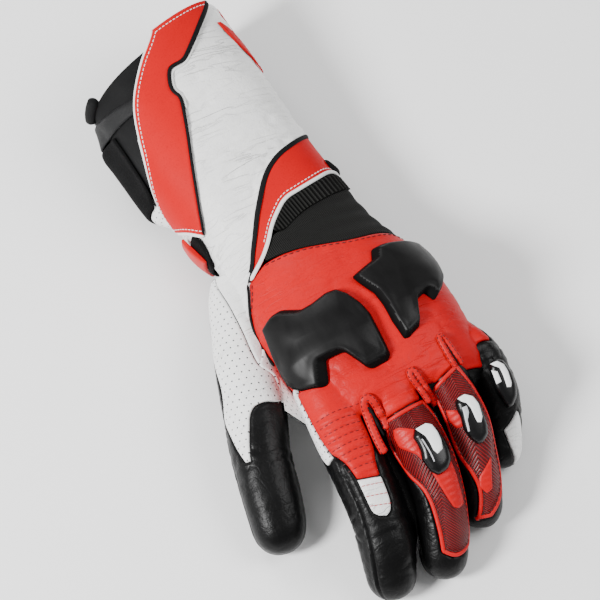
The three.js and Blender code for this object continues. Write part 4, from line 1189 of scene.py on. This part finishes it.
sheet_piece("closure_collar", "black_leather", [smooth_cloth, suede], [[5.4, THUMB_SIDE], [75, THUMB_SIDE]],
            [[6, 35]] + moved(UNDER_FLAP[1:], 0, -1.6), step=1.6)
sheet_piece("cuff_side_panel", "white_leather", LEATHER_FACES["perforated"],
            [[70, THUMB_SIDE - 16], [CUFF_END, THUMB_SIDE - 10]],
            [[70.5, -60]] + moved(UNDER_FLAP_END, 0.6, -0.8)[1:],
            lift=lambda s, degrees: 0.4 + closure_lift(s, degrees) * (1 - smooth_step((s - 72) / 14)))
sheet_piece("closure_tab", "black_loop_tape", [loop_tape, suede], [[17.5, -130], [40, -130], [71, -124]],
            [[26, -80], [40, -82], [58, -85], [70, -92]], top=[[17.5, -130], [19.5, -104], [26, -80]],
            lift=lambda s, degrees: closure_lift(s, degrees) + LAP_TOP, inner=lap_bottom, step=1.0)
sheet_piece("closure_band", "grey_band", [grey_band, suede], [[4, -130], [16.6, -130]],
            [[24, -42], [29.5, -52]], top=[[4, -130], [5, -104], [14, -76], [24, -42]],
            bottom=[[16.6, -130], [18.6, -104], [25, -78], [29.5, -52]],
            lift=lambda s, degrees: closure_lift(s, degrees) + LAP_TOP - 0.3, inner=lap_bottom, step=1.0)
roll = Piece("closure_roll")
roll_line = seam_line(HAND, [[3.4, -70], [3.4, -77], [3.4, -84], [3.4, -91], [3.4, -95]])
roll.add(*strip(HAND, roll_line, 0.6, ROLL_RADIUS, ROLL_RADIUS, 20))
roll.make([smooth_cloth], "black_leather", ["closure_roll"])

sheet_piece("wrist_strap", "black_loop_tape", [loop_tape, suede], [[101, -134], [118, -134]],
            [[101, -78], [106, -75], [114.5, -80.5], [120, -88]], None, lift=LAP_TOP,
            inner=LAP_BOTTOM, step=1.0)
sheet_piece("strap_pull", "red_pull", [red_pull, red_pull], [[96, -112], [117, -112]],
            [[97, -88], [116, -86]], None, step=0.8, inner=LAP_TOP + 0.6, drop=0.5,
            lift=lambda s, degrees: LAP_TOP + 2 + 1.4 * np.sin(math.pi * np.clip((s - 96.5) / 20, 0, 1)))
sheet_piece("wrist_tab", "black_leather", [smooth_cloth, suede], [[99, 74], [106, 76]], [[99, 86], [106, 88]],
            None, step=0.6, lift=lambda s, degrees: 1.6 + 1.6 * (s - 99) / 7, inner=0.4)

# Knitted wrist
sheet_piece("wrist_rib_band", "black_knit", [rib_knit, suede], [[124.6, -21.5], [127, -22.8]],
            [[107.4, 79], [117.6, 79]], rib_relief, top=moved(INSERT_BOTTOM[1:8][::-1], 0.5, 0.25),
            bottom=RIB_BAND_END, step=0.5, edges="t")
BAND_BELOW = [[118.2, 79.8], [122, 45.2], [124, 20.2], [127.2, 0.2], [130.0, -12.4]]
STRETCH_TOP = [[107.4, 92], [107.5, 79.9]] + BAND_BELOW + [[128.6, -25], [133.6, -34.8], [140.3, -46.2]]
sheet_piece("wrist_stretch_panel", "black_knit", [fine_knit, suede], [[140.3, -46.2], [140.8, -45.6]],
            [[107.4, 92], [153.7, 92]], knit_relief, top=STRETCH_TOP[::-1],
            bottom=[[140.8, -45.6]] + moved(HAND_TOP[::-1], -0.25, 0)[1:], step=0.8, lift=-0.2, edges="lb")


# Red back of the hand: the back and the roots of the fingers are drawn together into one skin
def drawn_together(piece, material, slot, nodes):
    made = piece.make([material], slot, nodes)
    modifier = made.modifiers.new("skin", "REMESH")
    modifier.mode = "VOXEL"
    modifier.voxel_size = VOXEL * MM
    modifier.use_smooth_shade = True
    smoothing = made.modifiers.new("soften", "SMOOTH")
    smoothing.factor = 0.5
    smoothing.iterations = 2
    bpy.context.view_layer.update()
    solid = bpy.data.meshes.new_from_object(made.evaluated_get(bpy.context.evaluated_depsgraph_get()))
    made.modifiers.clear()
    made.data = solid
    return made


HAND_BACK_TOP = [[147, -65.8], [144, -54.5]] + moved(HAND_TOP[::-1], 0.25, 0)
back = Piece("hand_back")
back.add(*sheet(HAND, HAND_LEFT, [[154.3, LITTLE_SIDE], [HAND_END, LITTLE_SIDE]], top=HAND_BACK_TOP, step=1.0,
                relief=red_back_relief))
back.add(*panel_sheet("indexRed", pleat_relief, lift=0.2, step=0.7))
for panel, hem in (("middleRed", 44.0), ("ringRed", 41.5), ("littleRed", 33.5)):
    back.add(*panel_sheet(panel, root_relief(hem), step=0.8))
back.materials = [0] * len(back.materials)
back_made = drawn_together(back, red_leather, "red_leather", ["hand_back"])
back_surface = surface_of(back_made)

sheet_piece("palm", "black_leather", LEATHER_FACES["black"], [[111.6, 91.2], [HAND_END, 91.2]],
            [[111.6, 263.8], [170, 263.8], [200, 261.9], [HAND_END, 260.9]], palm_relief, step=1.4)


def front_cap(start, lift):
    """Closed front of the hand between the fingers."""
    s = np.concatenate([np.linspace(start, HAND.end - 1.4, 8), [HAND.end - 0.7, HAND.end]])[:, None]
    outer = HAND.point(s, np.arange(90)[None] * 4.0, lift)
    middle = outer[-1].mean(0)
    closing = [middle + (outer[-1] - middle) * share for share in (0.75, 0.5, 0.25)]
    rings = np.concatenate([outer, closing])
    index = np.arange(rings[..., 0].size).reshape(rings.shape[:2])
    faces = ring_faces(index)[:, OTHER_WAY].tolist() + [index[-1].tolist(), index[0][::-1].tolist()]
    return rings.reshape(-1, 3), faces


def stretched(first, first_edge, second, second_edge, sag, lift=0.4, columns=24):
    """Leather stretched between an edge on one form and an edge on another."""
    down, across = np.linspace(0, 1, 60), np.linspace(0, 1, columns)
    near = at_shares(rounded(to_flat(first, first_edge)), down)
    far = at_shares(rounded(to_flat(second, second_edge)), down)
    start = first.point(near[:, 0], near[:, 1] / first.per_degree, lift)[:, None]
    stop = second.point(far[:, 0], far[:, 1] / second.per_degree, lift)[:, None]
    share = across[None, :, None]
    outer = start * (1 - share) + stop * share
    outer[..., 2] -= sag * 4 * across * (1 - across)
    width = np.linalg.norm(stop - start, axis=-1)
    flat = np.stack(as_grid(40 + width * across, near[:, :1]), -1)
    return closed_sheet(outer, outer - [0, 0, WEB_THICKNESS], flat, 1)


# Leather between the finger roots, and between the index and the middle finger
INDEX_SIDE = [[40, 88], [60, 88], [75, 88], [90, 87], [104, 86], [112, 86]]
MIDDLE_SIDE = [[36, -92], [56, -94], [72, -94], [88, -88], [100, -84], [110, -82]]
web = Piece("finger_web")
web.add(*front_cap(HAND_END + 0.75, -0.1))
web.add(*stretched(FINGERS["index"], INDEX_SIDE, FINGERS["middle"], MIDDLE_SIDE, 2.0, -0.6, 10)[:3])
web.make([black_leather], "black_leather", ["finger_web"])

# Fingers: where each starts, and the panels let into it
LET_IN = {
    "index": (20, ["indexRed", "indexPatch", "indexSide"]),
    "middle": (22, ["middleRed", "middleOverlay"]),
    "ring": (20, ["ringRed", "ringOverlay"]),
    "little": (9, ["littleRed", "littleSide"]),
    "thumb": (6, ["thumbTail", "thumbSide"]),
}
for seed, (name, (start, panels)) in enumerate(LET_IN.items()):
    finger = Piece(name if name == "thumb" else name + "_finger")
    finger.add(*tube(FINGERS[name], start, finger_relief(name, panels, 20 + 5 * seed)))
    finger.make(LEATHER_FACES["black"], "black_leather", [finger.name])


def white_patch(name, panel):
    patch = Piece(name)
    patch.add(*panel_sheet(panel, lift=0.5, step=0.7))
    patch.make(LEATHER_FACES["white"], "white_leather", [name])


white_patch("index_patch", "indexPatch")
side = Piece("index_side_panel")
side.add(*panel_sheet("indexSide", lift=0.2))
side.add(*sheet(HAND, [[168, -126], [238, -122]], moved(HAND_LEFT[4:], 0, -0.8), lift=0.5, inner=-0.4,
                relief=calm_relief))
side.make(LEATHER_FACES["perforated"], "white_leather", ["index_side_panel"])
white_patch("little_side_patch", "littleSide")

# White leather over the thumb, down its inner side and across to the hand
THUMB_INNER = [[8, 68], [23, 39], [36, 33], [50, 31], [58, 26], [62, 18], [64.5, 30], [67, 48], [80, 62]]
THUMB_EDGE = [[20, 8], [36, 24], [48, 35], [58, 45], [68, 56], [77, 62], [84, 64]]
HAND_EDGE = [[156, -76], [164, -87], [174, -98], [196, -100], [216, -101], [236, -102]]
thumb_side = Piece("thumb_side_panel")
thumb_side.add(*panel_sheet("thumbSide"))
thumb_side.add(*sheet(FINGERS["thumb"], THUMB_INNER, [[8, 122], [50, 122], [80, 112]], lift=0.5, inner=-0.4,
                      relief=calm_relief))
thumb_side.add(*stretched(FINGERS["thumb"], THUMB_EDGE, HAND, HAND_EDGE, WEB_SAG))
thumb_side.make(LEATHER_FACES["perforated"], "white_leather", ["thumb_side_panel"])

# Bright red fields beside and below the sliders
BRIGHT_BLOCKS = {
    "middle": [
        [
            [57, -44], [57.6, -30.5], [62, -5], [68, -8], [76, -14], [76.5, -19], [73, -24],
            [70.5, -34], [66, -52], [61, -52],
        ],
        [
            [82, -9.5], [82, 3], [80, 23.5], [78, 37], [86.5, 45.5], [93, 49], [100.5, 55], [102, 36.5],
            [101, 23.5], [97.5, 15], [93, 6.5], [88.5, -1],
        ],
    ],
    "ring": [
        [[62, -41], [63.5, -21.5], [66, -10], [72, -12], [72, -32.5], [68, -44]],
        [[89, 31], [92, 18], [97.5, -4.5], [102.5, -6.5], [106, 11.5], [104, 25], [96.5, 26]],
    ],
}


def block_top(depth, s, across):
    fold = 0.10 * np.sin(s * 2.1 + 0.4 * across)
    return 0.75 + 0.55 * smooth_step(depth / 0.9) + fold * smooth_step(depth / 2)


for name, blocks in BRIGHT_BLOCKS.items():
    form = FINGERS[name]
    overlay = Piece(name + "_overlay")
    overlay.add(*panel_sheet(name + "Overlay", overlay_relief, lift=0.6, step=0.7))
    ring = outline_of(form, FINGER_PANELS[name + "Overlay"])
    closed = at_shares(np.concatenate([ring, ring[:1]]), np.linspace(0, 1, 240))
    overlay.add(*strip(form, beside(closed, 1.0), 0.55, 1.0, 0.55), 2)
    for block in blocks:
        overlay.add(*outline_patch(form, block, block_top, step=0.45, base=-0.4)[:3], 2)
    overlay.make([overlay_hatch, suede, red_edge], "dark_red_overlay", [overlay.name])
    points, normals = on_form(form, beside(closed, 2.6), 0.85)
    THREADS["red"].add(*stitch_run(points, normals, length=1.9, pitch=2.8, radius=0.25))


# Hard knuckle guards
INDEX_GUARD = [
    [180, -73], [173.5, -71], [171, -61], [171.5, -54], [177.5, -42.5], [177.5, -33.5],
    [175.5, -18.5], [176, -9], [181, -2.5], [189.5, 2], [196.5, 3], [205, 1], [216, -2],
    [219.5, -3.5], [221.5, -9.5], [222, -27], [220.5, -30.5], [209, -36.5], [208, -40],
    [207.5, -51], [217.5, -59.5], [218.5, -62.5], [214.5, -73.5], [209.5, -79.5], [204.5, -81],
    [198, -80], [189, -76.5],
]
RING_GUARD = [
    [173.5, 11.5], [168.5, 35.5], [162, 41], [160.5, 51], [161, 63], [162.5, 75], [171, 79], [180, 76.5],
    [190, 70.5], [196, 64], [201.5, 55.5], [196, 52], [199, 43.5], [210, 37.5], [212.5, 35], [215.5, 23],
    [215, 18.5], [205, 17], [195, 18.5], [187, 18.5], [179, 14],
]


def guard_top(crown, crease_at, lobes):
    """Height of a guard: a chamfered rim, a flat top, a crease and domed lobes beyond the crease."""
    def top(depth, s, across):
        bevel = smooth_step(np.clip(depth / GUARD_BEVEL, 0, 1) * 0.5 + 0.5) * 2 - 1
        dome = 1 - np.exp(-depth / 9)
        height = GUARD_RIM + (GUARD_HEIGHT - GUARD_RIM - crown) * bevel + crown * dome
        inner = smooth_step((depth - GUARD_BEVEL) / 3)
        height = height - 0.7 * inner * np.exp(-(((s - crease_at) / 6) ** 2))
        height = height - 0.10 * inner * np.maximum(s - crease_at - 8, 0)
        for lobe_s, lobe_degrees in lobes:
            lobe_across = lobe_degrees * HAND_MM_PER_DEGREE
            reach = ((s - lobe_s) / 13) ** 2 + ((across - lobe_across) / 11) ** 2
            height = height + 1.1 * inner * np.exp(-reach)
        return height
    return top


GUARDS = {
    "knuckle_guard_index": (INDEX_GUARD, guard_top(1.6, 194, [[208, -68], [212, -17]])),
    "knuckle_guard_ring": (RING_GUARD, guard_top(1.5, 189, [[203, 29], [191, 63]])),
}
for name, (outline, top) in GUARDS.items():
    guard = Piece(name)
    # The band round the outline takes the darker black: painted shade on the guard's bevel.
    guard.add(*outline_patch(HAND, outline, top, base=GUARD_BASE, rim=GUARD_SHADED_RIM_WIDTH))
    guard.make([hard_black, shaded_rim_black], "hard_black", [name], sharp=30)


# Hard sliders on the finger knuckles with a light bracket on top
SLIDERS = {
    "middle": {
        "outline": [
            [65.5, -16.5], [63, -9.5], [61.7, -4.5], [61.5, 17], [66, 32], [71, 36], [76, 38],
            [81, 34], [84, 22], [85.3, 2], [82.5, -11], [76.5, -19], [72.5, -15], [68, -15],
        ],
        "bracket": [
            [62.5, -5.5], [62.2, 11.5], [64, 19], [68, 22], [72, 21.5], [75.5, 18], [76.5, 8],
            [74.5, 4], [71, 3.5], [67.5, 2], [65.5, -1.5],
        ],
    },
    "ring": {
        "outline": [
            [61, -16.5], [60, -11], [58.8, 5], [60.5, 18], [64.5, 27], [70, 29], [74.5, 31],
            [78.5, 28], [81.5, 14], [81.5, 3], [78, -9.5], [73.5, -17.5], [70, -17.5],
            [67.5, -16.5], [65, -18.5],
        ],
        "bracket": [
            [59.6, -9.5], [59.2, 2.5], [61.5, 13.5], [65, 18], [70.5, 18], [72.5, 14], [72, 8],
            [70, 6], [65.5, 4], [63, 0.5], [61.7, -5],
        ],
    },
    "little": {
        "outline": [
            [51.5, -9], [50, -4], [49.5, 8], [51, 22], [57, 33], [63, 34], [67.5, 29], [71, 17], [71, 7],
            [67, -4.5], [62, -12.5], [55, -13],
        ],
        "bracket": [
            [50.3, -5.5], [50.6, 6], [53, 15], [56, 18], [61, 18], [62.5, 15], [62, 8.5], [57, 8], [53.5, 6],
            [52, -0.5],
        ],
    },
}
# Small light marks on the sliders: the outline, and whether it is silver
SLIDER_MARKS = {
    "middle": ([[68, -5.6], [68, -3.6], [79, 0.6], [79, -1.2]], True),
    "ring": ([[64, -8.5], [64, -0.8], [67, -1], [70, -6.5], [74.5, -6.5], [74.5, -9.5], [70.5, -10]], True),
    "little": ([[53, -8], [54.5, 0.5], [59, 2], [59.3, -7]], False),
}


def slider_top(depth, s, across):
    return SLIDER_RIM + (SLIDER_HEIGHT - SLIDER_RIM) * np.sqrt(1 - (1 - np.clip(depth / 4.0, 0, 1)) ** 2)


def mark_top(depth, s, across):
    return SLIDER_HEIGHT + 0.2 + 0.3 * smooth_step(depth / 0.5)


for name, table in SLIDERS.items():
    form = FINGERS[name]
    slider = Piece(name + "_slider")
    slider.add(*outline_patch(form, table["outline"], slider_top, step=0.4, base=SLIDER_BASE))
    slider.make([slider_black], "hard_black", [slider.name], sharp=60)
    bracket = Piece(name + "_slider_insert")
    bracket.add(*outline_patch(form, table["bracket"], mark_top, step=0.25, base=MARK_BASE, rounds=0))
    mark, silvered = SLIDER_MARKS[name]
    bracket.add(*outline_patch(form, mark, mark_top, step=0.2, base=MARK_BASE, rounds=0)[:3], int(silvered))
    bracket.make([hard_white, silver], "white_insert", [bracket.name])


# Welts round the slits between the fingers: form, distance and angle
WEB_LOOPS = {
    "index": [
        ["index", 60, 52], ["index", 54, 47], ["index", 48, 46.5], ["hand", 240.5, -57],
        ["hand", 235.5, -51.5], ["hand", 233, -47.5], ["hand", 233.5, -44.5], ["hand", 236, -44],
        ["hand", 240, -47], ["middle", 49.5, -47.5], ["middle", 55.5, -50],
    ],
    "middle": [
        ["middle", 53.5, 51.5], ["hand", 241, 11.5], ["hand", 237, 5.5], ["hand", 233, 2.5],
        ["hand", 230.5, 4.5], ["hand", 231, 9], ["hand", 234.5, 11.5], ["hand", 239, 15.5],
        ["ring", 53, -56], ["ring", 58, -57],
    ],
    "ring": [
        ["ring", 47, 14], ["hand", 232, 46], ["hand", 227, 45], ["hand", 222.5, 45], ["hand", 220.5, 45.5],
        ["hand", 220.5, 47.5], ["hand", 224.5, 49], ["hand", 229, 50], ["hand", 234, 53], ["ring", 47, 28.5],
    ],
}
WELT_HALF = {"index": 2.2, "middle": 1.7, "ring": 1.5}
# Stations of the welt at which the dark strip of painted shade in its slit starts, and stops before the bend
SLIT_START, SLIT_STOP = 6, 8
finger_pieces = [bpy.data.objects[name + "_finger"] for name in ("index", "middle", "ring", "little")]
welt_bed = surface_of(back_made, *finger_pieces)

for name, stops in WEB_LOOPS.items():
    spots = np.array([(HAND if where == "hand" else FINGERS[where]).point(s, degrees, 2.0)
                      for where, s, degrees in stops])
    line = smooth_rows(at_shares(rounded(spots), np.linspace(0, 1, 110)), 3)
    facing = np.tile(TOWARDS_CAMERA, (len(line), 1))
    bed = settled(line, facing, welt_bed, 0.0)
    height = ((bed - line) * facing).sum(1)[:, None]
    line = line + facing * (smooth_rows(np.maximum(height, LOWEST_WELT), 8) + WELT_LIFT)
    half = WELT_HALF[name]
    welt = Piece("web_loop_" + name)
    welt.add(*sweep(line, facing, half, WELT_HEIGHT, 16))
    half_way = len(line) // 2
    near = line[SLIT_START:half_way - SLIT_STOP]
    far = at_shares(line[half_way + SLIT_STOP:-SLIT_START][::-1], np.linspace(0, 1, len(near)))
    slit = smooth_rows((near + far) / 2)
    # A dark strip down the slit between the welt's legs: painted shade in the gap.
    welt.add(*sweep(slit - 0.3 * TOWARDS_CAMERA, facing[:len(slit)], 0.7, 0.6, 8), 1)
    welt.make([red_leather, black_edge], "red_leather", [welt.name])
    _, across_welt, above_welt = frames_along(line, facing)
    for offset in (-0.64 * half, 0.64 * half):
        stitches = line + across_welt * offset + above_welt * 0.92
        THREADS["red"].add(*stitch_run(stitches, above_welt, pitch=2.3, length=1.5, radius=0.27))

# Piping and a black line beside the thumb side of the back
EDGE_LINE = [[147, -65], [152, -68.4], [157, -73], [163, -79], [170, -83.5], [178, -86], [190, -87.5]]
piping = Piece("hand_edge_piping")
pipe(piping, [[143, -57.5]] + HAND_LEFT[:7], -1.5, 0.1, (1.0, 1.2, 0.9), 0.8, 0)
pipe(piping, EDGE_LINE, 0, 0.8, (0.5, 0.9, 0.7), 0.7, 1)
piping.make([white_edge, black_edge], "white_leather")

# Seams of the back, of the white panels and of the index finger, and the stitches across its pleats
sew("red", HAND_TOP, 2.2, back_surface)
sew("red", HAND_LEFT[:6], 2.0, back_surface)
sew("black", HAND_LEFT[5:], 0.3, back_surface, **CROSS_STITCH)
sew("white", [[3.6, 62], [3.6, 90]], 0.0, surface_of(white_made))
INDEX = FINGERS["index"]
sew("black", FINGER_PANELS["indexRed"]["left"][:5], 0.2, back_surface, 0.3, INDEX, **CROSS_STITCH)
for s in np.arange(PLEAT_START + PLEAT_PITCH, PLEAT_STOP, PLEAT_PITCH):
    wide = np.interp(s, [30, 50, 66], [44, 38, 22])
    sew("red", [[s, -wide - 8], [s - 0.8, 0], [s, wide - 4]], 0.0, back_surface, 0.05, INDEX,
        pitch=3.2, length=2.2, radius=0.22)
for s in (70.8, 76.0, 80.8):
    sew("bright", [[s - 0.4, -19], [s + 1.6, 23]], 0.0, None, 0.75, INDEX, pitch=2.3, length=1.9, radius=0.22)

THREADS["white"].make([white_thread], "white_leather")
THREADS["red"].make([red_thread], "red_leather")
THREADS["black"].make([black_thread], "black_leather")
THREADS["bright"].make([bright_thread], "red_leather")


# Floor, lights and camera
floor_mesh = bpy.data.meshes.new("floor")
corners = ((-1, -1), (1, -1), (1, 1), (-1, 1))
floor_mesh.from_pydata([(x * FLOOR_HALF, y * FLOOR_HALF, 0.0) for x, y in corners], [], [(0, 1, 2, 3)])
floor = bpy.data.objects.new("floor", floor_mesh)
bpy.context.scene.collection.objects.link(floor)
floor_nodes = Nodes("floor_paper")
floor_mesh.materials.append(floor_nodes.set(
    Base_Color=floor_nodes.mix(floor_nodes.noise(40.0), colour(0.93, 0.93, 0.93), colour(0.95, 0.95, 0.95)),
    Roughness=0.9))

world = bpy.data.worlds.new("studio")
bpy.context.scene.world = world
world.use_nodes = True
world.node_tree.nodes["Background"].inputs["Color"].default_value = (1.0, 1.0, 1.0, 1.0)
world.node_tree.nodes["Background"].inputs["Strength"].default_value = 0.4


def area_light(name, place, target, size, watts):
    light = bpy.data.lights.new(name, "AREA")
    light.shape = "DISK"
    light.size = size
    light.energy = watts
    lamp = bpy.data.objects.new(name, light)
    lamp.location = place
    lamp.rotation_euler = (Vector(target) - Vector(place)).to_track_quat("-Z", "Y").to_euler()
    bpy.context.scene.collection.objects.link(lamp)
    return lamp


area_light("key_light", (-1.05, -0.15, 0.95), (0.0, 0.0, 0.03), 0.4, 36.0)
area_light("fill_light", (0.8, -0.3, 1.1), (0.0, 0.0, 0.03), 0.9, 12.0)
area_light("back_light", (-0.2, 1.2, 0.9), (0.0, 0.0, 0.03), 0.7, 10.0)

towards = Vector(TOWARDS_CAMERA)
right = Vector((math.cos(AZIMUTH), math.sin(AZIMUTH), 0.0))
up = towards.cross(right)
place = Vector(-ORIGIN * MM) + towards * CAMERA_DISTANCE * MM
turn = Matrix((right, up, towards)).transposed()
camera_data = bpy.data.cameras.new("photo_camera")
camera_data.sensor_width = SENSOR
camera_data.lens = SENSOR * CAMERA_DISTANCE / (PHOTO_PIXELS * MM_PER_PIXEL)
camera = bpy.data.objects.new("photo_camera", camera_data)
camera.matrix_world = Matrix.Translation(place) @ turn.to_4x4()
bpy.context.scene.collection.objects.link(camera)
bpy.context.scene.camera = camera
